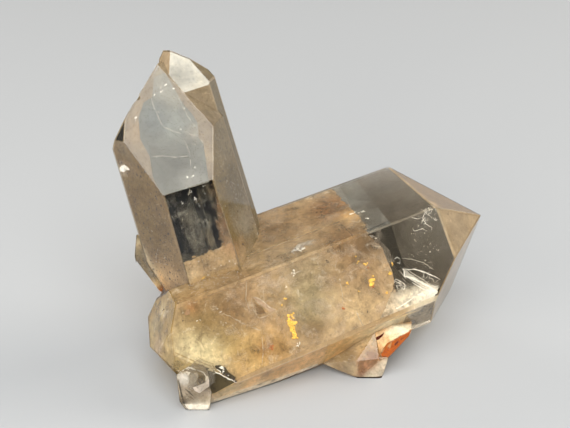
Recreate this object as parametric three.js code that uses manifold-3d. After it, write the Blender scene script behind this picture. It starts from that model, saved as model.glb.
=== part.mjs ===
// A small cluster of clear quartz, in millimetres, +Z up, standing on the plane z = 0.
// One thick crystal lies along +X with its point to the right, two parallel crystals stand on
// its left end, and small broken crystals under and behind it carry the cluster.
// Everything has grown together, so the whole cluster is one solid.
import * as THREE from "three";
import { ConvexGeometry } from "three/addons/geometries/ConvexGeometry.js";
import { mergeVertices } from "three/addons/utils/BufferGeometryUtils.js";
import Module from "manifold-3d";

const wasm = await Module();
wasm.setup();

// ---- Dimensions ------------------------------------------------------------------------------
// Lengths are in mm and angles in degrees. Heading is measured about +Z from +X towards +Y, and
// rise is the height of a direction above level ground.
//
// Each crystal is placed by its tip, by the heading and rise its point aims at, and by the roll
// of prism face 0 about its own length. Its prism faces 0 to 5 follow one another every 60
// degrees and its pyramid faces stand above them in the same order.
// - prism: how far each prism face is from the line through the tip
// - skew: how far each prism face is turned from its even place
// - lean: how far each prism face tilts in towards the tip
// - pyramid: how far each pyramid face is from the tip, 0 where it meets the tip itself
// - slant: how far each pyramid face tilts in beyond PYRAMID_LEAN

const RAW = 160; // side of the raw block a crystal is planed from, longer than any crystal
const WASTE = 640; // side of the block each face takes off, which reaches past the raw block
const FACE_TURN = 60; // angle from one face of a crystal to the next
const PYRAMID_LEAN = 38.2; // pyramid faces of quartz lean in this much more than prism faces

// The thick crystal that lies along the ground: front, lower front, underside, back, upper back
// and top faces.
const LYING = {
  tip: [40.3, 6.8, 20.7],
  heading: 22.6,
  rise: 9.9,
  roll: 146.2,
  length: 78,
  prism: [9.4, 14.5, 14.7, 15.5, 18, 9.5],
  skew: [0, 0, 0, 0, 0, 0],
  lean: [-0.2, 0.7, -2.4, 0, 1, -0.5],
  pyramid: [0, 0, 5, 0, 8, 0],
  slant: [0.4, 0.5, 0, -3.2, 0, -0.4],
};
const LEDGE_TOP = 10.2; // top face of the narrow ledge along the lying crystal's upper front edge
const LEDGE_WIDTH = 6; // from the upper front edge to the back of the ledge
const LEDGE_END = 30; // the ledge stops this far behind the tip
const LEDGE_TAPER = 0.6; // the back of the ledge runs in towards the edge at this angle

// Planes that cut the broken left end of the lying crystal: a point on each and the way it faces.
const END_BREAKS = [
  { at: [-24.3, -19, 18.6], heading: 165, rise: 23 },
  { at: [-27.2, -16, 10], heading: 172, rise: 4 },
  { at: [-20.8, -23.9, 18.1], heading: 197, rise: 22 },
  { at: [-22.8, -24.5, 13], heading: 199, rise: 16 },
  { at: [-21.2, -27.4, 13.1], heading: 215, rise: 11.7 },
  { at: [-26.5, -17, 8.3], heading: 180, rise: -11 },
  { at: [-24.8, -24, 8.3], heading: 212.8, rise: -30.7 },
  { at: [-8.9, -29.2, 5.4], heading: 277.5, rise: 21 },
];
// The hollow broken out of the lying crystal to the left of the standing ones, behind the ledge.
const END_HOLLOW = { at: [-18.5, -16.8, 19.4], heading: 121, rise: 46 };

// The front one of the two standing crystals: front, right, back right, back, back left and left
// faces.
const STANDING = {
  tip: [-24.7, 6.6, 54.6],
  heading: 147,
  rise: 71.9,
  roll: 47.1,
  length: 46,
  prism: [15.7, 9.9, 5.5, 5, 9.7, 13.2],
  skew: [0, 0, 0, 0, 0, -2],
  lean: [0.2, 0.6, 0, 0, 0.3, 1.7],
  pyramid: [0, 0, 3, 6, 0, 4.1],
  slant: [-1.1, 0.2, 0, 0, 0, 0],
};
const STANDING_BREAK = { at: [-28.7, -6.1, 19.5], heading: 182, rise: -42 };

// The taller crystal grown parallel to it, behind and to the right.
const TALLER = {
  ...STANDING,
  tip: [-22.4, 9.3, 56.3],
  length: 48,
  prism: [5.7, 7.1, 4.3, 6, 3, 6],
  skew: [0, 0, 0, 0, 0, 0],
  lean: [0.2, 0.6, 0.5, 0, 0, 0],
  pyramid: [0, 1.3, 0, 2, 1.5, 0],
  slant: [-0.8, 0, 0, 0, 0, 0],
};

// The broken root behind and below the lying crystal, which the cluster leans back on.
const ROOT = {
  tip: [-2, 16, -12],
  heading: 100,
  rise: -50,
  roll: 20,
  length: 26,
  prism: [8, 7, 9, 8, 7, 9],
  skew: [0, 0, 0, 0, 0, 0],
  lean: [0, 0, 0, 0, 0, 0],
  pyramid: [0, 0, 0, 0, 0, 0],
  slant: [0, 0, 0, 0, 0, 0],
};

// The small clear crystal at the lower left corner, its point facing forward.
const FOOT = {
  tip: [-16.4, -32.8, 8.6],
  heading: 262,
  rise: 25,
  roll: 10,
  length: 9,
  prism: [2.6, 2.8, 2.5, 2.7, 2.9, 2.6],
  skew: [0, 0, 0, 0, 0, 0],
  lean: [3, 3, 3, 3, 3, 3],
  pyramid: [0, 0, 0.4, 0, 0.3, 0],
  slant: [8, 8, 8, 8, 8, 8],
};

// Broken lumps of quartz, each given by its corners.
const FOOT_BASE = [
  [-20.3, -31, 8],
  [-19.9, -31.2, 2],
  [-18.4, -31.2, -0.6],
  [-14.4, -31.2, -0.6],
  [-13.7, -31.8, 4.6],
  [-15, -29.5, 8.6],
  [-15, -24, -1],
  [-18, -24, 7],
  [-19, -26, 0.5],
];
const STUB_LOWER = [
  [7.3, -18.8, 1.8],
  [11.2, -20, 1.7],
  [12.7, -21, 0.8],
  [15.1, -21.2, -0.5],
  [18.7, -21.2, -0.5],
  [19.4, -20.5, 1],
  [20.2, -20, 4.1],
  [13.9, -21.2, 4.1],
  [14.2, -16.8, 4.8],
  [17.6, -16.5, 7.7],
  [12, -12, 2.5],
  [20, -12, 3],
  [17, -14, -0.5],
];
const STUB_UPPER = [
  [20.2, -20, 4.1],
  [18.4, -20.4, 4.8],
  [20.7, -19.6, 8],
  [24.1, -18.8, 8.4],
  [24.6, -18.5, 9.7],
  [25.2, -12.3, 7.4],
  [21, -15, 8.4],
  [17.6, -16.5, 7.7],
  [21, -12, 4],
];
// The flake of crystal standing behind the left foot of the standing ones.
const SLIVER = [
  [-29.5, -4, 22.4],
  [-30.1, -4, 17.5],
  [-29.9, -4, 15.9],
  [-25.9, -4, 9.2],
  [-25.2, -4, 8],
  [-22, -2, 8],
  [-24, -2, 24],
  [-28.6, -1, 20],
];

// The chip missing from the left edge of the front standing crystal's large pyramid face.
const CHIP = [
  [-28.7, 1.8, 51.9],
  [-30.5, -1.1, 49.4],
  [-27.7, 0.9, 49.8],
  [-27.9, 2.7, 48.9],
];

const QUARTZ = new THREE.MeshStandardMaterial({
  name: "quartz",
  color: 0xe4d3bf,
  roughness: 0.08,
  metalness: 0,
});

// ---- Building --------------------------------------------------------------------------------

const radians = THREE.MathUtils.degToRad;

function solid(geometry) {
  const bare = new THREE.BufferGeometry();
  bare.setAttribute("position", geometry.getAttribute("position"));
  bare.setIndex(geometry.getIndex());
  const merged = mergeVertices(bare);
  return new wasm.Manifold(
    new wasm.Mesh({
      numProp: 3,
      vertProperties: merged.getAttribute("position").array,
      triVerts: new Uint32Array(merged.getIndex().array),
    }),
  );
}

function direction(heading, rise) {
  const level = Math.cos(radians(rise));
  return new THREE.Vector3(
    level * Math.cos(radians(heading)),
    level * Math.sin(radians(heading)),
    Math.sin(radians(rise)),
  );
}

// A block with one face centred on the point, lying on the side that the direction faces.
function blockBeyond(point, facing, side = WASTE) {
  const turn = new THREE.Quaternion().setFromUnitVectors(new THREE.Vector3(0, 0, 1), facing);
  const block = new THREE.BoxGeometry(side, side, side);
  block.translate(0, 0, side / 2);
  block.applyQuaternion(turn);
  block.translate(point.x, point.y, point.z);
  return solid(block);
}

function planeOff(body, point, facing) {
  return body.subtract(blockBeyond(point, facing));
}

// The crystal's own axes: X out of prism face 0, Z towards the tip.
function axesOf({ heading, rise, roll }) {
  const length = direction(heading, rise);
  const side = new THREE.Vector3(0, 0, 1).cross(length).normalize();
  const face = side.applyAxisAngle(length, radians(roll));
  return new THREE.Matrix4().makeBasis(face, length.clone().cross(face), length);
}

// The direction a face looks in, from its turn about the crystal's length and its lean.
function facingOf(crystal, turn, lean) {
  return direction(turn, lean).transformDirection(axesOf(crystal));
}

function cutFace(body, crystal, turn, lean, reach) {
  const facing = facingOf(crystal, turn, lean);
  const point = new THREE.Vector3(...crystal.tip).addScaledVector(facing, reach);
  return planeOff(body, point, facing);
}

function quartz(crystal) {
  const back = facingOf(crystal, 0, -90);
  const base = new THREE.Vector3(...crystal.tip).addScaledVector(back, crystal.length);
  let body = blockBeyond(base, back.negate(), RAW);
  crystal.prism.forEach((reach, i) => {
    const turn = i * FACE_TURN + crystal.skew[i];
    body = cutFace(body, crystal, turn, crystal.lean[i], reach);
  });
  crystal.pyramid.forEach((reach, i) => {
    body = cutFace(body, crystal, i * FACE_TURN, PYRAMID_LEAN + crystal.slant[i], reach);
  });
  return body;
}

function lump(corners) {
  return solid(new ConvexGeometry(corners.map((corner) => new THREE.Vector3(...corner))));
}

function breakOff(body, { at, heading, rise }) {
  return planeOff(body, new THREE.Vector3(...at), direction(heading, rise));
}

// The ledge has the lying crystal's faces except for a higher top, a plain back and a cut end.
function ledge() {
  const front = LYING.prism[0];
  const topTurn = 5 * FACE_TURN;
  const inwards = topTurn - 90;
  const edge = (front - LEDGE_TOP * Math.cos(radians(FACE_TURN))) / Math.sin(radians(FACE_TURN));
  let body = quartz({ ...LYING, prism: LYING.prism.with(5, LEDGE_TOP) });
  body = cutFace(body, LYING, inwards, LEDGE_TAPER, LEDGE_WIDTH - edge);
  return cutFace(body, LYING, 0, 90, -LEDGE_END);
}

// What lies outside the standing crystal's left face and above the plane of the hollow.
function endHollow() {
  const left = facingOf(STANDING, 5 * FACE_TURN + STANDING.skew[5], STANDING.lean[5]);
  const point = new THREE.Vector3(...STANDING.tip).addScaledVector(left, STANDING.prism[5]);
  const above = direction(END_HOLLOW.heading, END_HOLLOW.rise);
  const outside = blockBeyond(point, left);
  return outside.intersect(blockBeyond(new THREE.Vector3(...END_HOLLOW.at), above));
}

let lying = quartz(LYING).add(ledge());
END_BREAKS.forEach((plane) => {
  lying = breakOff(lying, plane);
});
lying = lying.subtract(endHollow());

const standing = breakOff(quartz(STANDING), STANDING_BREAK).subtract(lump(CHIP));
const taller = breakOff(quartz(TALLER), STANDING_BREAK);

let cluster = lying.add(standing).add(taller).add(quartz(ROOT)).add(quartz(FOOT));
[FOOT_BASE, STUB_LOWER, STUB_UPPER, SLIVER].forEach((corners) => {
  cluster = cluster.add(lump(corners));
});
cluster = planeOff(cluster, new THREE.Vector3(0, 0, 0), new THREE.Vector3(0, 0, -1));

const mesh = cluster.getMesh();
const geometry = new THREE.BufferGeometry();
geometry.setAttribute("position", new THREE.BufferAttribute(mesh.vertProperties, 3));
geometry.setIndex(new THREE.BufferAttribute(mesh.triVerts, 1));

// The origin goes under the middle of the cluster's bounding box, on the ground.
geometry.computeBoundingBox();
const middle = geometry.boundingBox.getCenter(new THREE.Vector3());
geometry.translate(-middle.x, -middle.y, 0);

const node = new THREE.Mesh(geometry, QUARTZ);
node.name = "quartz_cluster";

const group = new THREE.Group();
group.add(node);
export default group;
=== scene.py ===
import math
import random

import bmesh
import bpy
import numpy as np
from mathutils import Matrix, Quaternion, Vector, noise


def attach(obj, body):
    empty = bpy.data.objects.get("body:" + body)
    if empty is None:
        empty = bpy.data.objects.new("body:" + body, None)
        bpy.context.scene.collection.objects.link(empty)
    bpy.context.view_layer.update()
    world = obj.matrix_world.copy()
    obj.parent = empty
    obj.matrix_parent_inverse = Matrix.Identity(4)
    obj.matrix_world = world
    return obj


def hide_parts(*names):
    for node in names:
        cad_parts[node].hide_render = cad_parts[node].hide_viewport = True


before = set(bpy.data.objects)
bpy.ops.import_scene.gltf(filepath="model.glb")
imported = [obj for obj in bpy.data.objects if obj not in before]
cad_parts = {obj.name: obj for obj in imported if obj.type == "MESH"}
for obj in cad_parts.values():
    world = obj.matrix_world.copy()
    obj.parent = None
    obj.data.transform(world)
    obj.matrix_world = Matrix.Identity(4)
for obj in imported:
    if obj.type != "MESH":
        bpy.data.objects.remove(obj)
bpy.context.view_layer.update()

MM = 0.001
SHIFT = Vector((-3.5, 8.15, 0.0))  # from the crystals' own coordinates, in mm, to the frame
PYRAMID_LEAN = 38.2  # degrees that a pyramid face leans in from the prism face below it
NONE = (0,) * 6

# ---- The crystals, as in the model: places and reaches in mm, turns in degrees ---------------

LYING = dict(
    tip=(40.3, 6.8, 20.7), heading=22.6, rise=9.9, roll=146.2,
    prism=(9.4, 14.5, 14.7, 15.5, 18, 9.5), skew=NONE, lean=(-0.2, 0.7, -2.4, 0, 1, -0.5),
    pyramid=(0, 0, 5, 0, 8, 0), slant=(0.4, 0.5, 0, -3.2, 0, -0.4),
)
STANDING = dict(
    tip=(-24.7, 6.6, 54.6), heading=147, rise=71.9, roll=47.1,
    prism=(15.7, 9.9, 5.5, 5, 9.7, 13.2), skew=(0, 0, 0, 0, 0, -2), lean=(0.2, 0.6, 0, 0, 0.3, 1.7),
    pyramid=(0, 0, 3, 6, 0, 4.1), slant=(-1.1, 0.2, 0, 0, 0, 0),
)
TALLER = dict(
    STANDING, tip=(-22.4, 9.3, 56.3),
    prism=(5.7, 7.1, 4.3, 6, 3, 6), skew=NONE, lean=(0.2, 0.6, 0.5, 0, 0, 0),
    pyramid=(0, 1.3, 0, 2, 1.5, 0), slant=(-0.8, 0, 0, 0, 0, 0),
)
ROOT = dict(
    tip=(-2, 16, -12), heading=100, rise=-50, roll=20,
    prism=(8, 7, 9, 8, 7, 9), skew=NONE, lean=NONE, pyramid=NONE, slant=NONE,
)
END_BREAKS = (
    ((-24.3, -19, 18.6), 165, 23), ((-27.2, -16, 10), 172, 4), ((-20.8, -23.9, 18.1), 197, 22),
    ((-22.8, -24.5, 13), 199, 16), ((-21.2, -27.4, 13.1), 215, 11.7), ((-26.5, -17, 8.3), 180, -11),
    ((-24.8, -24, 8.3), 212.8, -30.7), ((-8.9, -29.2, 5.4), 277.5, 21),
)


def direction(heading, rise):
    h, r = math.radians(heading), math.radians(rise)
    return Vector((math.cos(r) * math.cos(h), math.cos(r) * math.sin(h), math.sin(r)))


def axes(c):
    """The crystal's own axes as a matrix: X out of prism face 0, Z towards the tip."""
    length = direction(c["heading"], c["rise"])
    side = Vector((0, 0, 1)).cross(length).normalized()
    face = Quaternion(length, math.radians(c["roll"])) @ side
    return Matrix((face, length.cross(face), length)).transposed()


def planes(c, inset=0.0):
    """Faces 0 to 5 of the prism and 6 to 11 of the point, as (point, outward direction) in mm."""
    turn, tip, out = axes(c), Vector(c["tip"]) + SHIFT, []
    for i in range(12):
        k = i % 6
        if i < 6:
            n = turn @ direction(60 * k + c["skew"][k], c["lean"][k])
            reach = c["prism"][k]
        else:
            n = turn @ direction(60 * k, PYRAMID_LEAN + c["slant"][k])
            reach = c["pyramid"][k]
        out.append((tip + n * (reach - inset), n))
    return out


def breaks(inset=0.0):
    out = []
    for at, heading, rise in END_BREAKS:
        n = direction(heading, rise)
        out.append((Vector(at) + SHIFT - n * inset, n))
    return out


def hollow(inset=0.0):
    """The hollow beside the standing crystals is outside the first plane and above the second."""
    point, normal = planes(STANDING)[5]
    above = direction(121, 46)
    return (point + normal * inset, normal), (Vector((-18.5, -16.8, 19.4)) + SHIFT - above * inset, above)


def flip(plane, inset=0.0):
    """The plane moved inwards and turned to face the other way."""
    point, normal = plane
    return point - normal * inset, -normal


def but(walls, i):
    """All the planes but one."""
    return walls[:i] + walls[i + 1:]


def flatten(points, plane):
    """The points brought down onto a plane."""
    at, normal = plane
    return [p - normal * (p - at).dot(normal) for p in points]


# ---- Tables of numbers: points and sizes in mm, colours as #rrggbb -----------------------------

def path(text):
    """Points, parted by commas."""
    return [Vector([float(word) for word in point.split()]) for point in text.split(",")]


def values(text):
    """Numbers and colours, parted by spaces."""
    return [word if word[0] == "#" else float(word) for word in text.split()]


def table(text):
    """Rows of values, parted by semicolons."""
    return [values(row) for row in text.split(";")]


def marked(text):
    """Rows of values, a colon and points, parted by semicolons, as (points, value, ...)."""
    return [(path(points), *values(head)) for head, points in (row.split(":") for row in text.split(";"))]


# ---- Mesh helpers (all points in mm) ---------------------------------------------------------

HUGE = 200.0  # larger than the cluster
SNAP = 1e-5  # points this near to a cutting plane lie on it


def span(normal):
    """Two directions that span the plane of a normal."""
    u = normal.orthogonal().normalized()
    return u, normal.cross(u)


def link(name, mesh):
    obj = bpy.data.objects.new(name, mesh)
    bpy.context.scene.collection.objects.link(obj)
    return obj


def from_bmesh(name, bm):
    bmesh.ops.scale(bm, vec=(MM, MM, MM), verts=bm.verts)
    mesh = bpy.data.meshes.new(name)
    bm.to_mesh(mesh)
    bm.free()
    return link(name, mesh)


def ready(obj, material):
    """Gives an object its material and lets it ride on the cluster."""
    obj.data.materials.append(material)
    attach(obj, "root")


def mesh_of(name, verts, faces):
    mesh = bpy.data.meshes.new(name)
    mesh.from_pydata([Vector(v) * MM for v in verts], [], faces)
    mesh.update()
    return link(name, mesh)


def clip(poly, cuts):
    """What is left of a flat polygon behind all the planes."""
    for point, normal in cuts:
        kept = []
        for a, b in zip(poly, poly[1:] + poly[:1]):
            da, db = (a - point).dot(normal), (b - point).dot(normal)
            if da <= 0:
                kept.append(a)
            if (da < 0) != (db < 0):
                kept.append(a.lerp(b, da / (da - db)))
        poly = kept
        if len(poly) < 3:
            return []
    return poly


def on_plane(point, normal):
    """A large square on a plane."""
    u, v = span(normal)
    return [point + HUGE * (u * a + v * b) for a, b in ((-1, -1), (1, -1), (1, 1), (-1, 1))]


def convex(name, cuts):
    """The solid behind all the planes, as an object."""
    bm = bmesh.new()
    bmesh.ops.create_cube(bm, size=HUGE)
    for point, normal in cuts:
        geom = bm.verts[:] + bm.edges[:] + bm.faces[:]
        cut = bmesh.ops.bisect_plane(
            bm, geom=geom, plane_co=point, plane_no=normal, clear_outer=True, dist=SNAP
        )["geom_cut"]
        edges = [g for g in cut if isinstance(g, bmesh.types.BMEdge)]
        if edges:
            bmesh.ops.contextual_create(bm, geom=edges)
    bmesh.ops.recalc_face_normals(bm, faces=bm.faces)
    return from_bmesh(name, bm)


def apply(obj):
    graph = bpy.context.evaluated_depsgraph_get()
    mesh = bpy.data.meshes.new_from_object(obj.evaluated_get(graph))
    obj.modifiers.clear()
    obj.data = mesh
    return obj


# ---- Material helpers ------------------------------------------------------------------------

DUST_SCALE = 1500
FROST_ROUGHNESS = 0.22


def srgb(code):
    """The linear colour of a code such as #b09a6a."""
    return tuple(((v / 255 + 0.055) / 1.055) ** 2.4 for v in bytes.fromhex(code[1:])) + (1.0,)


class Tree:
    """The nodes of a material. Add, and what builds on it, gives an output of the new node."""

    def __init__(self, name):
        self.material = bpy.data.materials.new(name)
        self.material.use_nodes = True
        self.nodes = self.material.node_tree.nodes
        self.links = self.material.node_tree.links
        self.nodes.clear()
        self.out = self.nodes.new("ShaderNodeOutputMaterial")

    def node(self, kind, sockets=None, **settings):
        node = self.nodes.new("ShaderNode" + kind)
        for key, value in settings.items():
            setattr(node, key, value)
        for key, value in (sockets or {}).items():
            if isinstance(value, bpy.types.NodeSocket):
                self.links.new(value, node.inputs[key])
            else:
                node.inputs[key].default_value = value
        return node

    def add(self, kind, sockets=None, output=0, **settings):
        return self.node(kind, sockets, **settings).outputs[output]

    def noise(self, scale, detail=4.0, rough=0.55, seed=0.0, distortion=0.0, flow=None):
        """Noise over the object's place, drawn out along a crystal where flow names one."""
        place, size = self.add("TexCoord", output="Object"), (1.0, 1.0, 1.0)
        if flow:
            turn = axes(flow).transposed().to_euler()
            place, size = self.add("Mapping", {"Vector": place, "Rotation": turn}), (1.0, 1.0, 0.4)
        where = self.add("Mapping", {"Vector": place, "Location": (seed, seed * 0.7, -seed), "Scale": size})
        return self.add("TexNoise", {
            "Vector": where, "Scale": scale, "Detail": detail, "Roughness": rough, "Distortion": distortion,
        }, "Fac")

    def ramp(self, fac, *stops):
        node = self.node("ValToRGB", {"Fac": fac})
        items = node.color_ramp.elements
        while len(items) < len(stops):
            items.new(0.5)
        for item, (at, value) in zip(items, stops):
            item.position = at
            item.color = value if isinstance(value, tuple) else (value, value, value, 1.0)
        return node.outputs["Color"]

    def math(self, kind, a, b):
        return self.add("Math", {0: a, 1: b}, operation=kind)

    def mix(self, fac, a, b, kind="MIX"):
        return self.add("Mix", {"Factor": fac, 6: a, 7: b}, 2, data_type="RGBA", blend_type=kind)

    def times(self, a, b):
        return self.mix(1.0, a, b, "MULTIPLY")

    def blend(self, fac, a, b):
        return self.add("MixShader", {0: fac, 1: a, 2: b})

    def finish(self, surface, volume=None):
        self.links.new(surface, self.out.inputs["Surface"])
        if volume is not None:
            self.links.new(volume, self.out.inputs["Volume"])
        return self.material

    def finish_film(self, front, colour, glow, alpha=None):
        """A front that glows a little from behind, see-through where alpha is low."""
        whole = self.blend(glow, front, self.add("BsdfTranslucent", {"Color": colour}))
        if alpha is not None:
            whole = self.blend(alpha, self.add("BsdfTransparent"), whole)
        return self.finish(whole)


def cloud(name, cover, scale=300.0, seed=0.0, glow=0.3, grain=0.28, edge=(0.36, 0.62), moss=0.0, dusty=0.3,
          flow=None):
    """A cloudy layer inside the crystal, in the colours painted on it. Cover is how opaque it is
    in its thin and thick places, moss how much olive and cream shows in small patches, and dusty
    how strong its fine grain is."""
    t = Tree(name)
    stain = t.node("Attribute", attribute_name="stain").outputs
    fine = t.ramp(t.noise(scale * 2.6, 5.0, 0.7, seed + 9.0),
                  (0.3, 1.0 - grain), (0.5, 1.0), (0.75, 1.0 + grain))
    broad = t.ramp(t.noise(scale * 0.7, 4.0, 0.6, seed + 5.0),
                   (0.3, (0.82, 0.78, 0.72, 1)), (0.5, (1, 1, 1, 1)), (0.7, (1.1, 1.1, 1.12, 1)))
    dust = t.ramp(t.noise(DUST_SCALE, 3.0, 0.6, seed + 31.0),
                  (0.3, 1.0 + dusty), (0.4, 1.0), (0.6, 1.0), (0.7, 1.0 - dusty))
    colour = t.times(t.times(t.times(stain["Color"], fine), broad), dust)
    if moss:
        olive = t.ramp(t.noise(scale * 1.5, 6.0, 0.7, seed + 13.0, 0.8), (0.54, 0.0), (0.68, moss))
        colour = t.mix(olive, colour, srgb("#68563a"))
        cream = t.ramp(t.noise(scale * 1.9, 7.0, 0.76, seed + 17.0, 0.8), (0.56, 0.0), (0.7, moss))
        colour = t.mix(cream, colour, srgb("#f0e2c8"))
    alpha = t.ramp(t.noise(scale * 0.6, 7.0, 0.6, seed + 3.1, 0.6, flow), *zip(edge, cover))
    alpha = t.math("MULTIPLY", alpha, stain["Alpha"])
    within = t.add("Attribute", output="Fac", attribute_name="edge")
    ragged = t.math("ADD", t.noise(520, 5.0, 0.62, seed + 21.0, 0.4), t.math("SUBTRACT", within, 0.5))
    alpha = t.math("MULTIPLY", alpha, t.ramp(ragged, (0.44, 0.0), (0.54, 1.0)))
    return t.finish_film(t.add("BsdfDiffuse", {"Color": colour}), colour, glow, alpha)


def clear_material(name, ior, smoke, density, shine=(0.0, 0.0)):
    """Clear quartz with a little smoke in it. Lamp light passes straight in, to save noise."""
    t = Tree(name)
    frost = t.add("Attribute", output="Fac", attribute_name="frost")
    patchy = t.ramp(t.noise(140, 3, 0.6, 2.0), (0.4, shine[0]), (0.65, shine[1]))
    glass = t.add("BsdfPrincipled", {
        "Base Color": (1.0, 0.992, 0.98, 1.0), "Transmission Weight": 1.0, "IOR": ior,
        "Roughness": t.math("ADD", t.math("MULTIPLY", frost, FROST_ROUGHNESS), patchy),
    })
    through = t.add("BsdfTransparent", {"Color": (0.94, 0.93, 0.92, 1.0)})
    whole = t.blend(t.add("LightPath", output="Is Shadow Ray"), glass, through)
    return t.finish(whole, t.add("VolumeAbsorption", {"Color": smoke, "Density": density}))


def bright_material(name, code, glow=0.3, grain=0.2, scale=2500.0, rough=0.4, cover=None):
    """A speck, flake or thread with a mottled colour, patchy where cover gives its two extremes."""
    t = Tree(name)
    colour = t.times(srgb(code), t.ramp(t.noise(scale, 3.0, 0.6, 4.0), (0.3, 1.0 - grain), (0.7, 1.0 + grain)))
    alpha = cover and t.ramp(t.noise(700, 4.0, 0.6, 6.0), *zip((0.38, 0.6), cover))
    front = t.add("BsdfPrincipled", {"Base Color": colour, "Roughness": rough})
    return t.finish_film(front, colour, glow, alpha)


# ---- The glassy body -------------------------------------------------------------------------

QUARTZ_IOR = 1.544
BEVEL = 0.1 * MM
LONG_EDGE, SHARP_EDGE = 2.5 * MM, 0.2  # only longer edges that turn by more radians are bevelled
FROSTED = {1: 0.4, 5: 0.3, 6: 0.12}  # face of the standing crystal: how dull it is

body = link("quartz_body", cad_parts["quartz_cluster"].data.copy())
bm = bmesh.new()
bm.from_mesh(body.data)
bmesh.ops.remove_doubles(bm, verts=bm.verts, dist=1e-6)
bmesh.ops.dissolve_limit(bm, angle_limit=math.radians(0.3), verts=bm.verts, edges=bm.edges)
for face in bm.faces:
    face.smooth = False
edges = [e for e in bm.edges if e.calc_length() > LONG_EDGE and e.calc_face_angle_signed(0) > SHARP_EDGE]
bmesh.ops.bevel(bm, geom=edges, offset=BEVEL, segments=2, affect="EDGES", clamp_overlap=True, profile=0.6)
frost = bm.faces.layers.float.new("frost")
for face in bm.faces:
    for k, dull in FROSTED.items():
        if face.normal.dot(planes(STANDING)[k][1]) > 0.999:
            face[frost] = dull
bm.to_mesh(body.data)
bm.free()
body.data.materials.clear()
body.data.materials.append(clear_material("quartz", QUARTZ_IOR, (0.82, 0.79, 0.73, 1.0), 240.0, (0.0, 0.03)))
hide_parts("quartz_cluster")
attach(body, "root")

# ---- The stained zone inside the lying crystal -----------------------------------------------

ZONE_FRONT = (17.0, 0.5, 19.0)
ZONE_BULGE, ZONE_WIDTH = 14, 28
ZONE_RINGS, ZONE_SPOKES, RING_STEP = 6, 12, 0.22  # its rounded end: planes in rings, radians apart
# The zone's edge under the front face and under the top face, towards the point.
ZONE_EDGE_FRONT = path("""
    13 1.3 26.6, 15.2 -0.8 22.8, 17 -1.4 21.2, 17.8 -2.8 18.8, 17.7 -4.9 15.8, 16.7 -6.4 14, 15.3 -8.6 11.4
""")
ZONE_EDGE_TOP = path("""
    5.5 20.5 24.7, 7.8 17.2 25.1, 9.5 13 25.4, 11 7.5 25.4, 12.6 3.6 25.8, 13.4 1 26
""")

# (place in mm, reach in mm, colour, how thick the cloud is there)
PATCHES = table("""
    -21.2 -16.3 13.3 3 #b09a6a 0.9; -18.8 -14 15.6 3 #b69460 0.9; -18.7 -18 9.8 3.2 #f8e8b4 1;
    -21.5 -17.8 11.3 2.4 #f0e2b6 1; -19.4 -16 14.4 2.2 #8a7246 1; -10.3 -16.4 8.7 3.6 #e2bc76 1;
    -5.5 -14.7 9.1 3 #c69e62 1; -14.4 -15.7 11.4 1.8 #9e8852 1; -13 -16.8 9.8 1.2 #967e4a 1;
    -16 -16 13.6 2.2 #887046 1; -20.4 -14 18 1.8 #8c6c44 1; -21.4 -15.3 17 1.2 #684e2a 1;
    -23.2 -12.8 18.9 1.2 #ceac7c 1; -20.4 -11.9 19.5 1.2 #ceac7c 1; -17 -13 18 1.8 #8e724c 1;
    -17.8 -15.2 15.2 1.8 #8e784c 1; -14 -13.6 16.4 1.8 #967850 1; -20.4 -15.2 14.4 1.4 #967c4e 1;
    -21 -14.6 17.6 0.8 #de965a 1; -11.3 -11.5 16.2 4 #aa8a62 0.9; -12.5 -12 17.8 1.4 #8c6e4c 1;
    -6.5 -12.2 12.8 1.6 #d6b282 1; -5.5 -9.9 16.2 3.5 #d0b282 0.8; 1.6 -6.9 17.7 4 #c4b68e 0.8;
    0.2 -9.8 13.9 3 #b6a67c 0.9; 1.2 -11.4 11.2 1.8 #7e5e38 1; -1.4 -13.4 9.2 1.2 #ccb088 1;
    4 -8.6 15 1.6 #d0ba96 0.9; 5.2 -6 18.6 1.3 #a08260 0.9; 12.6 -0.8 23.4 2.2 #3c2a18 1;
    10 -2.6 22 1.8 #705638 1; 9 -4.3 18.4 5 #b29268 0.9; 10 -7.9 12.6 4 #f0d4a4 0.9;
    -0.7 -4.8 21.6 4 #c8ae88 0.7; 8 -0.7 24.1 3.5 #906e48 0.9; -8 -15.5 9 1.2 #a8642c 1;
    -4.4 7.8 21.9 4 #b4946a 0.8; 6.2 12.2 23.9 3.5 #90643a 1; 10 7.9 24.6 2 #d4ac70 1
""")

GAIN = 0.84  # what most films' colours are multiplied by
# Painted light: films on the faces that look down are painted lighter by this gain.
UNDER_GAIN = 1.6  # less light reaches the faces that look down
PATCH_REACH, BRIGHTEST = 0.75, 0.94


def paint(obj, patches, base, density, pull=0.06, gain=1.0, fade=None):
    """Colours the vertices: each patch counts by how near it is, and base fills the rest. Fade is
    planes, and how wide the torn edge along them is."""
    mesh = obj.data
    count = len(mesh.vertices)
    at = np.empty(count * 3)
    mesh.vertices.foreach_get("co", at)
    at = at.reshape(-1, 3) / MM
    total = np.full(count, pull)
    colour = np.tile(np.array(srgb(base)) * pull, (count, 1))
    thick = np.full(count, pull * density)
    for x, y, z, reach, rgb, dense in patches:
        weight = np.exp(-((at - np.array((x, y, z))) ** 2).sum(1) / (2 * (reach * PATCH_REACH) ** 2))
        total += weight
        colour += weight[:, None] * np.array(srgb(rgb))
        thick += weight * dense
    colour = colour / total[:, None] * gain
    colour *= np.minimum(1.0, BRIGHTEST / colour[:, :3].max(1))[:, None]
    colour[:, 3] = thick / total
    layer = mesh.color_attributes.new("stain", "FLOAT_COLOR", "POINT")
    layer.data.foreach_set("color", colour.astype(np.float32).ravel())
    within = np.ones(count)
    for point, normal in fade[0] if fade else ():
        within = np.minimum(within, 0.5 - (at - np.array(point)) @ np.array(normal) / fade[1])
    layer = mesh.attributes.new("edge", "FLOAT", "POINT")
    layer.data.foreach_set("value", np.clip(within, 0, 1).astype(np.float32))


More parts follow.
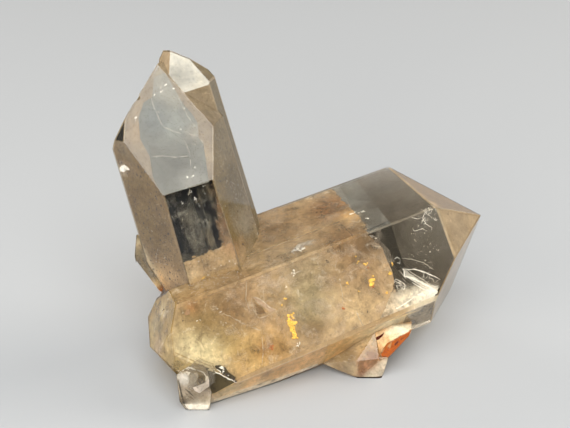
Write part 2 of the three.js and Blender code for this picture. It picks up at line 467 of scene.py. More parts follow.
def gridded(name, poly, step):
    """A flat polygon cut into cells, so that it can be painted."""
    bm = bmesh.new()
    face = bm.faces.new([bm.verts.new(p) for p in poly])
    face.normal_update()
    u = (poly[1] - poly[0]).normalized()
    v = face.normal.cross(u)
    for axis in (u, v):
        low, high = min(p.dot(axis) for p in poly), max(p.dot(axis) for p in poly)
        for k in range(1, int((high - low) / step) + 1):
            geom = bm.verts[:] + bm.edges[:] + bm.faces[:]
            bmesh.ops.bisect_plane(bm, geom=geom, plane_co=axis * (low + k * step), plane_no=axis, dist=SNAP)
    return from_bmesh(name, bm)


def join(name, parts):
    bpy.ops.object.select_all(action="DESELECT")
    for part in parts:
        part.select_set(True)
    bpy.context.view_layer.objects.active = parts[0]
    if len(parts) > 1:
        bpy.ops.object.join()
    parts[0].name = name
    parts[0].data.name = name
    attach(parts[0], "root")


def torn(fade):
    """The planes at the far side of a torn edge."""
    return [(p + n * fade[1] * 0.5, n) for p, n in fade[0]] if fade else []


def sheet(name, poly, material, rgb, density, patches=(), step=0.8, pull=0.25, gain=1.0, fade=None):
    """A painted film cut to a flat polygon."""
    part = gridded(name, clip(poly, torn(fade)), step)
    paint(part, patches, rgb, density, pull, gain, fade)
    part.data.materials.append(material)
    return part


def film(name, *looks, **more):
    """A painted film as a piece of its own."""
    join(name, [sheet(name, *looks, **more)])


def haze(name, crystal, depth, faces, cuts=(), gain=GAIN, step=1.0, fade=None):
    """Cloudy films just under a crystal's faces: {face number: (material, colour, density, patches)}."""
    parts = []
    shallow = planes(crystal, depth)
    for i, (material, rgb, density, *patches) in faces.items():
        poly = clip(on_plane(*shallow[i]), but(shallow, i) + list(cuts) + torn(fade))
        if len(poly) > 2:
            patched = patches[0] if patches else ()
            parts.append(sheet(f"{name}_{i}", poly, material, rgb, density, patched, step, 0.25, gain, fade))
    join(name, parts)


def fence(points, normal):
    """Planes that stand on a flat line of points and face to its right, seen against the normal."""
    return [(a, (b - a).cross(normal).normalized()) for a, b in zip(points, points[1:])]


def front_of_zone(shrink=0.0):
    """Planes that round off the stained zone's end towards the point."""
    along = axes(LYING).col[2].copy()
    u, v = span(along)
    out = []
    for ring in range(ZONE_RINGS):
        for k in range(ZONE_SPOKES if ring else 1):
            a, b = ring * RING_STEP, k / ZONE_SPOKES * math.tau
            side = u * math.cos(b) + v * math.sin(b)
            p = along * (ZONE_BULGE * (math.cos(a) - 1)) + side * ZONE_WIDTH * math.sin(a)
            n = (along * (math.cos(a) / ZONE_BULGE) + side * (math.sin(a) / ZONE_WIDTH)).normalized()
            out.append((Vector(ZONE_FRONT) + p - n * shrink, n))
    return out


RIPPLE_SCALE = 0.22


def stained_layer(name, inset, voxel, ripple, seed, material, density):
    cuts = planes(LYING, inset)[:6] + breaks(inset) + front_of_zone(inset - 0.4)
    cuts.append((Vector((0, 0, inset)), Vector((0, 0, -1))))
    obj = convex(name, cuts)
    obj.modifiers.new("Remesh", "REMESH").voxel_size = voxel * MM
    apply(obj)
    for vertex in obj.data.vertices:
        p = vertex.co / MM
        wave = abs(noise.fractal(p * RIPPLE_SCALE + Vector((seed, 0, 0)), 1.0, 2.0, 4))
        vertex.co = (p - vertex.normal * wave * ripple) * MM
    beside, above = hollow(inset)
    for vertex in obj.data.vertices:
        p = vertex.co / MM
        rise = (p - above[0]).dot(above[1])
        if rise > 0 and (p - beside[0]).dot(beside[1]) > -2 * inset:
            vertex.co = (p - above[1] * rise) * MM
    paint(obj, PATCHES, "#caae88", density, 0.06, 0.85)
    for polygon in obj.data.polygons:
        polygon.use_smooth = True
    ready(obj, material)


stained_layer("stain_outer", 1.3, 0.6, 0.5, 1.0, cloud("stain_outer", (0.1, 0.7), 260, 1.0), 0.8)
stained_layer("stain_middle", 2.6, 0.7, 2.0, 5.0, cloud("stain_middle", (0.25, 0.95), 220, 4.0), 1.0)
stained_layer("stain_core", 4.8, 0.8, 2.0, 9.0, cloud("stain_core", (0.9, 1.0), 200, 8.0), 1.0)

# ---- Hazes under the faces -------------------------------------------------------------------

GROUND = [(Vector((0, 0, 0.3)), Vector((0, 0, -1)))]
DULL = cloud("haze_dull", (0.86, 1.0), 300, 11.0, 0.25, 0.2)
PALE = cloud("haze_pale", (0.6, 0.95), 240, 17.0, 0.3, 0.12)
WISPS = cloud("haze_wisps", (0.0, 1.0), 900, 23.0, 0.3, 0.3, (0.47, 0.66), 0.0, 0.3, STANDING)
HONEY = cloud("haze_honey", (0.5, 1.0), 230, 29.0, 0.2, 0.34, (0.34, 0.56), 0.6)
GLASSY = cloud("haze_glassy", (0.4, 1.0), 520, 47.0, 0.3, 0.3, (0.38, 0.52), 0.0)
CREAM = cloud("haze_cream", (0.8, 1.0), 420, 43.0, 0.2, 0.26, (0.36, 0.56), 0.5)
AWAY = [flip(planes(LYING)[5], 1.0)]
BEHIND = "#d6c29e"
BACK = (PALE, BEHIND, 0.9)
left_low = direction(182, -42)
LOW_LEFT = (Vector((-28.7, -6.1, 19.5)) + SHIFT - left_low * 0.3, left_low)  # the broken lower left end
LEFT_FOOT = [flip(hollow()[1], 0.5)]

# On the left face, the pale cream patches low by its left edge are painted light, a glow where light comes
# through, and the near-white patch at the top is the glint's painted halo.
haze("haze_left", STANDING, 0.36, {
    5: (DULL, "#927b58", 0.95, table("""
    -25.3 -4.8 17.7 2.6 #d6b484 0.98; -27.4 -2.4 17 2 #debc8a 0.98; -31.8 2.2 20.2 1.1 #ffecc4 1;
    -30.8 1.4 18 1.3 #ffecc4 1; -29.6 0.2 16.1 1.4 #ffe8bc 1; -28.2 -1.2 14.5 1.3 #ffe2b0 1;
    -27 -2.6 15.2 0.9 #f0ba6e 1; -26 -3.8 15.2 0.9 #e2b070 1; -27.6 -2 16.4 0.8 #f0b464 1;
    -28.7 -1.2 21.5 2.2 #8e7654 0.95; -30.4 0.4 26.5 3 #88724a 0.95; -31.8 1 33.7 5 #8a724a 0.95;
    -33 1.6 38.4 1.4 #aa9474 0.95; -27.6 -3.4 32 1.2 #806c52 0.95; -33.9 3 42.5 1.6 #96866c 0.95;
    -34.6 3.8 37.4 0.9 #f4e8d0 1
""")),
}, LEFT_FOOT + [LOW_LEFT])
haze("haze_standing", STANDING, 0.38, {
    0: (WISPS, "#7e7660", 0.34, table("""
    -16.4 -2.6 36.6 1 #96744e 1.1; -15.2 -3.2 34 1 #96744e 1.2; -19.5 -4.6 32 2 #969282 0.5;
    -25.5 -5.6 33.5 1.6 #b0aa98 0.7; -21.5 -5.6 28 2.2 #8c8674 0.5; -17.5 -5.2 27.4 1.4 #b09e7e 0.8;
    -22.5 -4.6 35 1.3 #787464 0.2; -20.3 -4 35 0.5 #e2c896 0.9
""")),
    1: (DULL, "#968054", 0.9, table("""
    -10.9 4 26.4 2.2 #aca290 0.95; -12.4 0.8 27.4 1.8 #a89e8a 0.95; -10.4 6.4 25.4 1.6 #aea494 0.95;
    -13.2 -1.1 28.2 1.2 #a4967c 0.95; -13.9 -0.8 30.2 1.2 #9a907a 0.95; -12.8 2.4 29.2 1.2 #9a907a 0.95;
    -11.6 5 27.8 1.2 #9e9480 0.95; -11.4 2.5 25.4 1.4 #b4aa96 0.95; -13 5 33 3 #7a6a4e 0.95;
    -12 6.6 30.6 1.6 #807054 0.95; -14 2 32.6 2 #7c6c50 0.95; -15.4 7.9 41.6 4 #9e8e70 0.9;
    -11.8 -3.3 22.3 1.6 #ceb088 1; -13.1 -5.2 24.6 1.2 #be966c 1; -12 -1.6 24.2 1 #ceac82 1;
    -10.4 1.2 22 1.4 #b6a07e 1; -9.5 5.6 22.4 1.2 #beac8c 1
""")),
    # Face 6, round the pane: haze with painted internal reflections of the back faces.
    6: (DULL, "#968468", 1.0, table("""
    -28.3 15 54.4 3 #a89e88 1; -31.5 4 45.2 1.5 #a48c6a 1; -19.5 0.5 42 1.5 #ac9674 1
""")),
    **dict.fromkeys((2, 3, 4), BACK), 7: (DULL, "#a69478", 0.95), 10: BACK, 11: (DULL, "#302c23", 0.98),
}, AWAY + [LOW_LEFT])
# Painted shade: a dark lining behind the films of the far side, so that the clear front looks deep.
haze("painted_shade_lining", STANDING, 1.0, dict.fromkeys((2, 3, 4), (DULL, "#2c261c", 1.15)),
     [(p + n * 0.6, n) for p, n in AWAY], step=3.0)
haze("haze_taller", TALLER, 0.22, {
    0: (DULL, "#ac9a7e", 0.8), 1: (DULL, "#84765a", 0.9),
    **dict.fromkeys((2, 3, 4), (PALE, BEHIND, 0.8)),
    6: (DULL, "#d4cebc", 1.0, table("-23.6 13.6 52.6 1.6 #969080 1")), 7: (DULL, "#8e7e60", 0.9),
    9: (PALE, BEHIND, 0.4), 10: (PALE, "#aa9b82", 0.5), 11: (DULL, "#baa484", 0.95),
}, AWAY)
haze("haze_point", LYING, 0.3, {
    6: (PALE, "#ceb692", 1.1, table("24.5 -0.5 18 1.5 #ecbe82 1.2")),
    11: (DULL, "#9c7a44", 0.95, table("23.5 10.8 27.5 0.9 #e0b26e 1; 25.4 7.4 27.6 0.9 #f0c882 1")),
    7: (PALE, "#dec49a", 0.95),
    **dict.fromkeys((9, 10), (PALE, "#aa9b82", 0.5)),
})

# The root it leans back on, where it comes out below the lying crystal and behind it.
low, back = planes(LYING, 0.2)[2:4]
for name, cuts in (("low", [flip(low)]), ("back", [low, flip(back)])):
    haze(f"haze_root_{name}", ROOT, 0.3, dict.fromkeys(range(6), (HONEY, "#b09064", 0.95)), cuts + GROUND, 1.2)

LEDGE = dict(LYING, prism=(9.4, 14.5, 14.7, 15.5, 18, 10.2))
FRONT = planes(LYING)[0][1]
TOP = planes(LYING)[5][1]
haze("haze_lying", LEDGE, 0.55, {0: (HONEY, "#c8ac84", 0.9, PATCHES)}, breaks(0.4),
     fade=(fence(ZONE_EDGE_FRONT, -FRONT), 0.7))
TOP_HAZE = {5: (HONEY, "#c2a67c", 0.9, PATCHES)}
VEILED = cloud("haze_veiled", (0.0, 0.8), 330, 71.0, 0.3, 0.25, (0.5, 0.72))
haze("haze_lying_top", LYING, 0.5, TOP_HAZE, breaks(0.6) + [hollow()[0]],
     fade=(fence(ZONE_EDGE_TOP, -TOP), 3.0))
haze("haze_lying_corner", LYING, 0.5, TOP_HAZE, breaks(0.6) + [flip(hollow()[0]), hollow(0.5)[1]])
ROUND = front_of_zone()
haze("lying_veil", LYING, 0.35, {0: (VEILED, "#e2d0b6", 0.5), 5: (VEILED, "#dec8a8", 0.5)},
     breaks(0.6) + ROUND + [hollow()[0]], step=3.0)
UNDER = cloud("haze_under", (0.6, 1.0), 260, 33.0, 0.2, 0.26, (0.34, 0.56), 0.25)
# Painted light: the under faces are painted lighter by UNDER_GAIN, and the pale patches low along the front
# edge and above the stub stand for light coming through the crystal.
haze("haze_lying_under", LYING, 0.6, {
    1: (UNDER, "#deb880", 0.95, table("""
    -14.1 -20.4 3.2 2.6 #9e906e 0.95; -2.6 -14.9 4.3 2.8 #aa8858 0.95; 8.1 -10.3 6.3 5 #f0c88c 0.95;
    17 -7.6 9.8 3.6 #fffce6 1.1; 12.5 -8.8 8.4 3 #fff2c8 1.05; -18.5 -20.8 0.8 1.5 #f6ead2 1;
    -14 -18.2 0.7 1.6 #f0e2c6 1; -9 -15.8 0.9 1.6 #ecdcbc 1; -4 -13.6 1.3 1.5 #e8d6b4 1;
    1.5 -11.2 2.2 1.2 #e2cca6 1; -7 -17.2 4.6 0.9 #6e5c42 0.9
""")),
    **dict.fromkeys((2, 3, 4), (HONEY, "#be9c70", 0.8)),
}, breaks(0.6) + ROUND + GROUND, UNDER_GAIN)
END_TONES = ("#b8a06a", "#c6ae7c", "#ac9058")
END_PATCHES = table("""
    -27.4 -13.4 12.2 0.9 #8c7e58 0.95; -26.8 -11 14.8 1 #e2ce9e 0.95; -25.2 -13.6 15.6 0.8 #a48e64 0.95;
    -28.4 -10.4 11.6 1.2 #d2c092 0.95; -27.6 -15.2 9 1.6 #ceb28c 0.95
""")
ends = []
for number, (at, facing) in enumerate(breaks(0.5)):
    poly = clip(on_plane(at, facing), planes(LEDGE, 0.5) + but(breaks(0.5), number) + GROUND + [hollow(0.5)[1]])
    if len(poly) > 2:
        tone = END_TONES[number % 3]
        ends.append(sheet(f"end_{number}", poly, HONEY, tone, 0.9, END_PATCHES, 0.6, gain=GAIN))
join("haze_end", ends)

# ---- The window in the standing crystal's large face -----------------------------------------

PANE = path("""
    -28.8 12.8 52.6, -29 9.7 49.9, -30.6 8.8 49.2, -31.5 6.4 47, -31 3.1 44.2, -29.1 0.5 41.9, -28.3 -2.8 39,
    -26.5 -5.4 36.7, -17.8 -3.3 38.4, -18 -2.3 39.3, -19 2.6 43.6, -19.9 3.5 44.3, -20.2 5.8 46.3,
    -21.3 7.2 47.6, -23 8.7 48.9, -26.7 13.6 53.2
""")
# The pane's grey tones are haze with painted internal reflections of the back faces.
PANE_HAZE_AND_REFLECTION = cloud("pane_haze_and_reflection", (0.85, 1.0), 420, 37.0, 0.25, 0.16, dusty=0.1)
PANE = flatten(PANE, planes(STANDING, 0.24)[6])
film("pane", PANE, PANE_HAZE_AND_REFLECTION, "#7a7768", 0.95, table("""
    -27 12 51.8 2 #a8a292 1; -24.6 9.6 50 1.6 #9c9684 1; -24 5.5 46.4 2 #929286 0.95;
    -20.8 4.4 45.2 1.2 #a49c8a 0.95; -24.5 -1 40.5 2.5 #625d4c 0.95; -28.5 6 46.6 2 #787a72 0.95;
    -21.5 -3 38.8 1.6 #969082 0.95
"""), 0.6, gain=GAIN)

# The stained base of the standing crystal, with a torn upper edge.
window = planes(STANDING, 0.5)
walls = [window[1], window[5], window[6]] + AWAY
base, side = (clip(on_plane(*planes(STANDING, depth)[0]), walls) for depth in (0.5, 0.6))
join("standing_base", [
    sheet("base_low", base, CREAM, "#ccac7c", 0.95, table("""
    -13.5 -5 26 1.6 #b08a62 0.95; -22 -8.4 21 1.6 #dec296 1; -18 -7 23 1.4 #bea076 0.85
"""), 0.5, 0.3, GAIN,
        (fence(path("-12 -4.4 26.8, -23.6 -8 23.2"), window[0][1]), 3.0)),
    sheet("base_side", side, CREAM, "#826a4c", 0.8, table("""
    -15.9 -3 33 1 #906e4a 1; -15.2 -4.4 29.4 1 #947250 1; -14.2 -4.9 26.6 1.2 #aa8c68 1
"""), 0.5, 0.3, GAIN,
        (fence(path("-17.1 -2 38, -16.2 -4.6 26"), window[0][1]), 4.0)),
])

# Smoke in the heart of the standing crystal, seen through its front face.
smoke = convex("smoke_standing", planes(STANDING, 2.6) + [(p - n * 0.3, n) for p, n in AWAY])
ready(smoke, clear_material("smoke", 1.0, (0.6, 0.6, 0.57, 1.0), 430.0))

VEIL = cloud("haze_veil", (0.0, 0.9), 800, 61.0, 0.4, 0.3, (0.5, 0.7), 0.0, 0.3, STANDING)
veils = []
for k, depth in enumerate((1.0, 1.9)):
    inner = planes(STANDING, depth)
    poly = clip(on_plane(*inner[0]), [inner[n] for n in (1, 5, 6)] + [(Vector((0, 0, 17)), Vector((0, 0, -1)))])
    veils.append(sheet(f"veil_{k}", poly, VEIL, "#847a62", 0.34 - 0.1 * k, table("""
    -20.3 -3.4 35 0.6 #ceb88c 0.9; -21 -3.8 31.6 1.4 #a09a88 0.6; -20 -4.8 27.6 1.2 #a09a88 0.6;
    -23.6 -4.6 32.4 0.9 #969282 0.6; -24.5 -5 34.6 1.4 #3c382c 0.2; -17 -2 36.6 1.4 #3c382c 0.2
"""), 1.0))
join("standing_veils", veils)

# ---- Painted highlights: light seams under the edges -----------------------------------------

SEAM_DEPTH = 0.12


def highlight_seams(name, crystal, pairs, rgb, density, drop, patches=(), cuts=()):
    """Painted edge highlights: narrow films along the edges between pairs of faces, a drop below the edge."""
    shell = planes(crystal, SEAM_DEPTH)
    parts = []
    for i, j in pairs:
        (a, m), (b, n) = shell[i], shell[j]
        out, along = (m + n).normalized(), m.cross(n)
        corner = (n.cross(along) * a.dot(m) + along.cross(m) * b.dot(n)) / along.length_squared
        poly = clip(on_plane(corner - out * drop, out), shell + list(cuts))
        if len(poly) > 2:
            parts.append(sheet(f"{name}_{i}_{j}", poly, DULL, rgb, density, patches, 0.6, 0.25, GAIN))
    join(name, parts)


# Patches for the lying crystal's painted edge highlights.
CLEAR_EDGE = table("""
    13.5 2.2 25.6 2 #beb29a 0.35; 20 3.4 26.6 4 #b0a692 0.3; 26 4 26 3 #c4b496 0.6; 24 -4.6 13 2.5 #faf0d6 0.9;
    12 20 26 4 #968e7e 0.5
""")
highlight_seams("seams_standing", STANDING, [(1, 6), (6, 11), (4, 5), (1, 2), (6, 10), (4, 6)],
      "#b09e82", 0.8, 0.08, (), AWAY + [LOW_LEFT])
highlight_seams("highlight_seams_front", STANDING, [(0, 1), (0, 5), (5, 6)], "#9e8a6e", 0.6, 0.05, (), AWAY + [LOW_LEFT])
highlight_seams("seams_taller", TALLER, [(0, 1), (1, 7), (1, 2), (7, 8), (6, 9), (7, 9), (6, 10)],
      "#baa88a", 0.8, 0.08, (), AWAY)
highlight_seams("highlight_seams_lying", LYING, [(0, 6), (1, 6), (1, 7), (6, 7), (6, 11), (5, 11), (5, 6), (4, 5), (1, 2)],
      "#ceb690", 0.75, 0.1, CLEAR_EDGE, breaks(0.3) + [hollow()[0]] + GROUND)
highlight_seams("highlight_seam_low", LYING, [(0, 1)], "#ccb086", 0.9, 0.3, CLEAR_EDGE, breaks(0.3) + GROUND)
highlight_seams("highlight_seam_ledge", LYING, [(0, 5)], "#b0946e", 0.25, 0.08, CLEAR_EDGE, breaks(0.3) + [hollow()[0]])

# ---- Stub, foot and sliver -------------------------------------------------------------------

STUB_LOWER = path("""
    3.8 -10.6 1.8, 7.7 -11.8 1.7, 9.2 -12.8 0.8, 11.6 -13 -0.5, 15.2 -13 -0.5, 15.9 -12.4 1, 16.7 -11.8 4.1,
    10.4 -13 4.1, 10.7 -8.6 4.8, 14.1 -8.4 7.7, 8.5 -3.9 2.5, 16.5 -3.9 3, 13.5 -5.9 -0.5
""")
STUB_UPPER = path("""
    16.7 -11.8 4.1, 14.9 -12.2 4.8, 17.2 -11.5 8, 20.6 -10.6 8.4, 21.1 -10.4 9.7, 21.7 -4.2 7.4, 17.5 -6.8 8.4,
    14.1 -8.4 7.7, 17.5 -3.8 4
""")
FOOT_BASE = path("""
    -23.8 -22.8 8, -23.4 -23 2, -21.9 -23 -0.6, -17.9 -23 -0.6, -17.2 -23.6 4.6, -18.5 -21.4 8.6,
    -18.5 -15.9 -1, -21.5 -15.9 7, -22.5 -17.9 0.5
""")


def hull_planes(corners, inset):
    """The planes of the solid with these corners, moved inwards."""
    bm = bmesh.new()
    for corner in corners:
        bm.verts.new(corner)
    bmesh.ops.convex_hull(bm, input=bm.verts)
    bmesh.ops.dissolve_limit(bm, angle_limit=math.radians(2), verts=bm.verts, edges=bm.edges)
    bmesh.ops.recalc_face_normals(bm, faces=bm.faces)
    out = [(f.calc_center_median() - f.normal * inset, f.normal.copy()) for f in bm.faces]
    bm.free()
    return out


def filling(name, walls, rgb, density, patches, cuts=(), gain=GAIN):
    """Painted films just inside a lump's faces."""
    parts = []
    for i, wall in enumerate(walls):
        poly = clip(on_plane(*wall), but(walls, i) + list(cuts))
        if len(poly) > 2:
            parts.append(sheet(f"{name}_{i}", poly, CREAM, rgb, density, patches, 0.5, 0.15, gain))
    join(name, parts)


SMALLEST_MARK = 0.3


def decals(name, walls, along, marks, material, cuts=(), lift=0.03):
    """Flat marks just under a lump's faces: (points, colour, density), seen along a direction."""
    parts = []
    walls = [(p - n * lift, n) for p, n in walls]
    for k, (points, rgb, density) in enumerate(marks):
        for i, (at, n) in enumerate(walls):
            if n.dot(along) > -0.1:
                continue
            flat = [p + along * ((at - p).dot(n) / along.dot(n)) for p in points]
            poly = clip(flat, but(walls, i) + list(cuts))
            if len(poly) > 2 and max((p - poly[0]).length for p in poly) > SMALLEST_MARK:
                parts.append(sheet(f"{name}_{k}_{i}", poly, material, rgb, density, (), 0.6, 0.15, GAIN))
    join(name, parts)


OUTSIDE = [flip(planes(LYING)[1], 0.3)]
STUB_STAIN = table("""
    5 -11.5 2.4 1.4 #bea680 0.9; 7.6 -10.8 3.4 1.2 #c4a676 0.95; 8.6 -12.2 2.6 1.2 #9c8868 0.9;
    10.2 -12.8 2 0.8 #c8b28a 0.95; 11 -10.2 5.6 0.9 #d8b888 1; 13.4 -9.6 6.4 0.9 #d8b882 1;
    12 -11.4 5 1 #bc9a6a 1; 13.6 -10.8 5.6 0.9 #bc9868 1; 14.6 -11.6 4.8 1 #aa8050 1; 12 -12.9 2.9 1 #b0805a 1;
    11.4 -13 1.6 0.7 #965e3a 1; 13.4 -12.6 3.4 1 #ba8c66 1; 14.6 -12.6 1.8 1 #e8d6b8 1;
    15.8 -12.2 2.6 0.8 #f4e6cc 1; 13.4 -12.9 0.6 0.9 #f0e2c6 1; 15.2 -12.8 0.8 0.7 #c4b8a4 1;
    16.4 -10.6 7.4 0.9 #deb888 1; 15.4 -9.8 7.4 0.9 #e2c296 1; 17 -9.6 8.6 0.8 #fff4d4 1;
    19.4 -8.6 8.8 1.6 #fffce2 1.1; 19.6 -10.4 8.9 1 #fff8d6 1.1; 18.2 -10.6 8.5 0.8 #fff4ce 1
""")
filling("stub_low", hull_planes(STUB_LOWER, 0.07), "#ac9272", 1.05, STUB_STAIN, OUTSIDE + GROUND)
# The upper stub is painted lighter (gain 1.15): painted light, as the lying crystal above shades it.
filling("stub_up", hull_planes(STUB_UPPER, 0.07), "#d6b082", 1.05, STUB_STAIN, OUTSIDE + GROUND, 1.15)
RUSTY = cloud("haze_rusty", (0.75, 1.0), 600, 83.0, 0.15, 0.34, (0.36, 0.5), dusty=0.4)
BLOTCHY = cloud("haze_blotchy", (0.0, 1.0), 900, 91.0, 0.15, 0.3, (0.42, 0.58), dusty=0.4)
SEEN = Vector((0.075, 0.812, -0.579))  # the way the camera looks at the stub
STUB = hull_planes(STUB_LOWER, 0.0), hull_planes(STUB_UPPER, 0.0)
ORANGE = path("""
    21.2 -10.6 9.6, 20.5 -11.1 8.7, 19.7 -11.3 7.4, 18.4 -11.5 6.1, 17.3 -11.7 4.8, 16.5 -11.9 4.3,
    15.5 -12 4.2, 15.2 -12.2 5.1, 15.8 -11.9 6.1, 16.6 -11.6 7.3, 17.4 -11.4 7.7, 18.2 -11.2 8.1,
    19.3 -10.9 8.7, 20.3 -10.6 9.2
""")
TINT_SPREAD = 1.22  # how far the tint round the orange patch reaches, against the patch
middle = sum(ORANGE, Vector()) / len(ORANGE)
WIDER = [middle + (p - middle) * TINT_SPREAD for p in ORANGE]
for k, walls in enumerate(STUB):
    decals(f"stub_rust_{k}", walls, SEEN, [(ORANGE, "#c66402", 1.0)], RUSTY, OUTSIDE, 0.05)
    decals(f"stub_tint_{k}", walls, SEEN, [(WIDER, "#b27036", 0.9)], BLOTCHY, OUTSIDE, 0.06)
    decals(f"stub_marks_{k}", walls, SEEN, marked("""
    #6e2804 1: 19.6 -11.1 8.3, 18.6 -11.3 7.2, 17.9 -11.4 6.6, 17.7 -11.4 7, 18.6 -11.2 7.9;
    #e2b06e 0.8: 16.4 -11.6 6.7, 17.3 -11.3 7.6, 17 -11.6 6.4, 16.7 -11.8 5.2, 16.4 -11.8 5.4;
    #a47648 0.5: 10.6 -12.4 3.6, 12.6 -11.2 5.2, 14.4 -11.6 5, 14.6 -12.3 3.4, 12.4 -13.1 1.6, 11.2 -13.1 1,
    10.6 -13 2
"""), BLOTCHY, OUTSIDE, 0.03)
decals("red_spot", STUB[1], SEEN, marked("""
    #5c160a 1.2: 13.9 -9.5 6.7, 14.5 -9.3 7.3, 15.1 -9.3 7.6, 15.9 -9.2 8.3, 15.6 -9.7 7.8, 15.1 -9.9 7.3,
    14.7 -9.8 6.8
"""), RUSTY, (), 0.02)
filling("foot_base", hull_planes(FOOT_BASE, 0.08), "#988666", 0.85, table("""
    -21 -23.1 2.6 0.7 #7c6c50 0.9; -19 -23.4 2.6 0.8 #928062 0.9; -22.5 -23.2 7 0.9 #faf4e8 0.9;
    -22.6 -23.2 4.6 0.9 #cebea6 0.7; -17.6 -23.3 5.4 0.8 #60543a 0.9; -17.4 -22.6 6.8 0.7 #685c40 0.9;
    -18.6 -22.6 1.2 1.2 #fff8e6 1; -20 -23 0.4 1.6 #fff6e2 1; -22.5 -22.9 2.2 0.6 #544632 0.9;
    -18 -23.2 2.2 1 #ecdec4 0.9; -20 -23.4 4 1.4 #b0a08a 0.6; -18 -23.4 4.6 0.8 #d2c4b2 0.8
"""), GROUND)
SLIVER = path("""
    -33 4.15 22.4, -33.6 4.15 17.5, -33.4 4.15 15.9, -29.4 4.15 9.2, -28.7 4.15 8, -25.5 6.15 8, -27.5 6.15 24,
    -32.1 7.15 20
""")
filling("sliver_haze", hull_planes(SLIVER, 0.12), "#968668", 0.75, table("""
    -33 4.15 20.5 0.8 #d6c4a0 1; -30 4.15 10.5 0.9 #ecce9a 1; -28.8 4.15 8.6 0.9 #de8232 1;
    -32.6 4.15 16 0.8 #78684e 0.8
"""))
FOOT = dict(
    tip=(-16.4, -32.8, 8.6), heading=262, rise=25, roll=10,
    prism=(2.6, 2.8, 2.5, 2.7, 2.9, 2.6), skew=NONE, lean=(3,) * 6,
    pyramid=(0, 0, 0.4, 0, 0.3, 0), slant=(8,) * 6,
)
# Painted reflections: the foot's faces lighter and darker in turn, with a white highlight at its left edge, on
# clear quartz.
FOOT_TONES = ("#bab09e", "#a49882", "#c8c0b0", "#aca08a", "#cec8bc", "#a89c86")
haze("foot_haze", FOOT, 0.2, {
    k: (CREAM, FOOT_TONES[k % 6], 0.25, table("-22.4 -24 8 0.9 #fffaf0 1.1")) for k in range(12)
}, [(Vector((-20, -20.5, 8)), Vector((0, 1, 0)))], step=0.4)
SEEN_FOOT = Vector((-0.062, 0.798, -0.6))  # the way the camera looks at the foot
# Painted reflections and shade on the foot's facets, bright and dark in turn.
FACET_REFLECTIONS = marked("""
    #f6eede 0.9: -23.3 -22.9 7.8, -22 -22 8.3, -21.1 -23 8.8, -21.7 -22.7 7.6, -22.2 -23.1 6.2, -22.1 -23.1 5.4,
    -23.2 -23 4.7, -23.4 -23 6.1;
    #aca28e 0.8: -21.1 -23.1 8.3, -19.9 -23.5 9.2, -19.6 -24.1 8.8, -19.9 -24.5 7.9, -20.7 -24 6.5,
    -21.5 -23.3 6.4;
    #70624a 0.85: -19.6 -24 8.8, -18.5 -23.5 8.6, -18.3 -23.6 8, -18.6 -23.9 7, -19.3 -24.1 6.8,
    -19.8 -24.5 8.1;
    #eee2d2 0.9: -19.3 -24.1 6.8, -18.6 -23.9 7, -17.7 -23.4 7.5, -17.7 -23.3 5.3, -18.4 -23.5 4.6,
    -19.6 -23.4 4.2, -20.3 -23.3 4.5, -20.7 -23.8 5.9;
    #d6cab4 0.85: -18.5 -23.5 8.6, -17.8 -23.3 8, -17.7 -23.4 7.5, -18.3 -23.8 6.9
""")
decals("foot_facets", planes(FOOT), SEEN_FOOT, FACET_REFLECTIONS, CREAM, (), 0.06)
decals("foot_shades", hull_planes(FOOT_BASE, 0.0), SEEN_FOOT, marked("""
    #685a44 0.8: -22.4 -23.1 5.2, -21.4 -23.3 4.6, -20.6 -23.4 3.4, -21.4 -23.2 3.9;
    #807058 0.8: -22.3 -23.1 4.2, -21.2 -23.2 3.4, -20.6 -23.3 2.6, -21.8 -23.2 3.2;
    #544836 0.9: -23.6 -23 7, -23.3 -23 6.9, -22.3 -23 0.6, -22.9 -23 1.6;
    #fff8e8 1: -22.6 -23 1.4, -21.8 -23 0.1, -18.2 -23 0.1, -18 -23 1.2, -20 -23 1.5
"""), CREAM, (), 0.04)
# The broken lower left end of the standing crystal.
TAIL_FROM_TIP = 45.7
length = axes(STANDING).col[2]
TAIL = (Vector(STANDING["tip"]) + SHIFT - length * TAIL_FROM_TIP, -length)
poly = clip(on_plane(*LOW_LEFT), planes(STANDING, 0.3) + LEFT_FOOT + [TAIL])
# Painted light: the broken end looks down, so it is painted lighter by UNDER_GAIN.
film("standing_end", poly, CREAM, "#eed4a8", 1.0, table("-27.5 -2 12.6 1.6 #e28c38 1"), 0.6, gain=UNDER_GAIN)

# ---- Flecks, threads, painted glints and specks ----------------------------------------------

# Each kind takes its points, sizes and counts, then a material and the seed of its random draws.
FACING = Vector((0, -0.8, 0.6))  # towards the camera
ANY_TURN = 6.28  # the upper end of a random turn, in radians
THREAD_STEP, WOBBLE = 0.35, 0.06
FLAKE_CORNERS, SPECK_CORNERS, SPECK_STEP = 5, 6, 1.05  # the step is the radians between corners
LARGE_SPECKS = 0.06  # the share of the specks that are twice as large
IN_LYING = planes(LYING, 0.1)
IN_STANDING = planes(STANDING, 0.1)


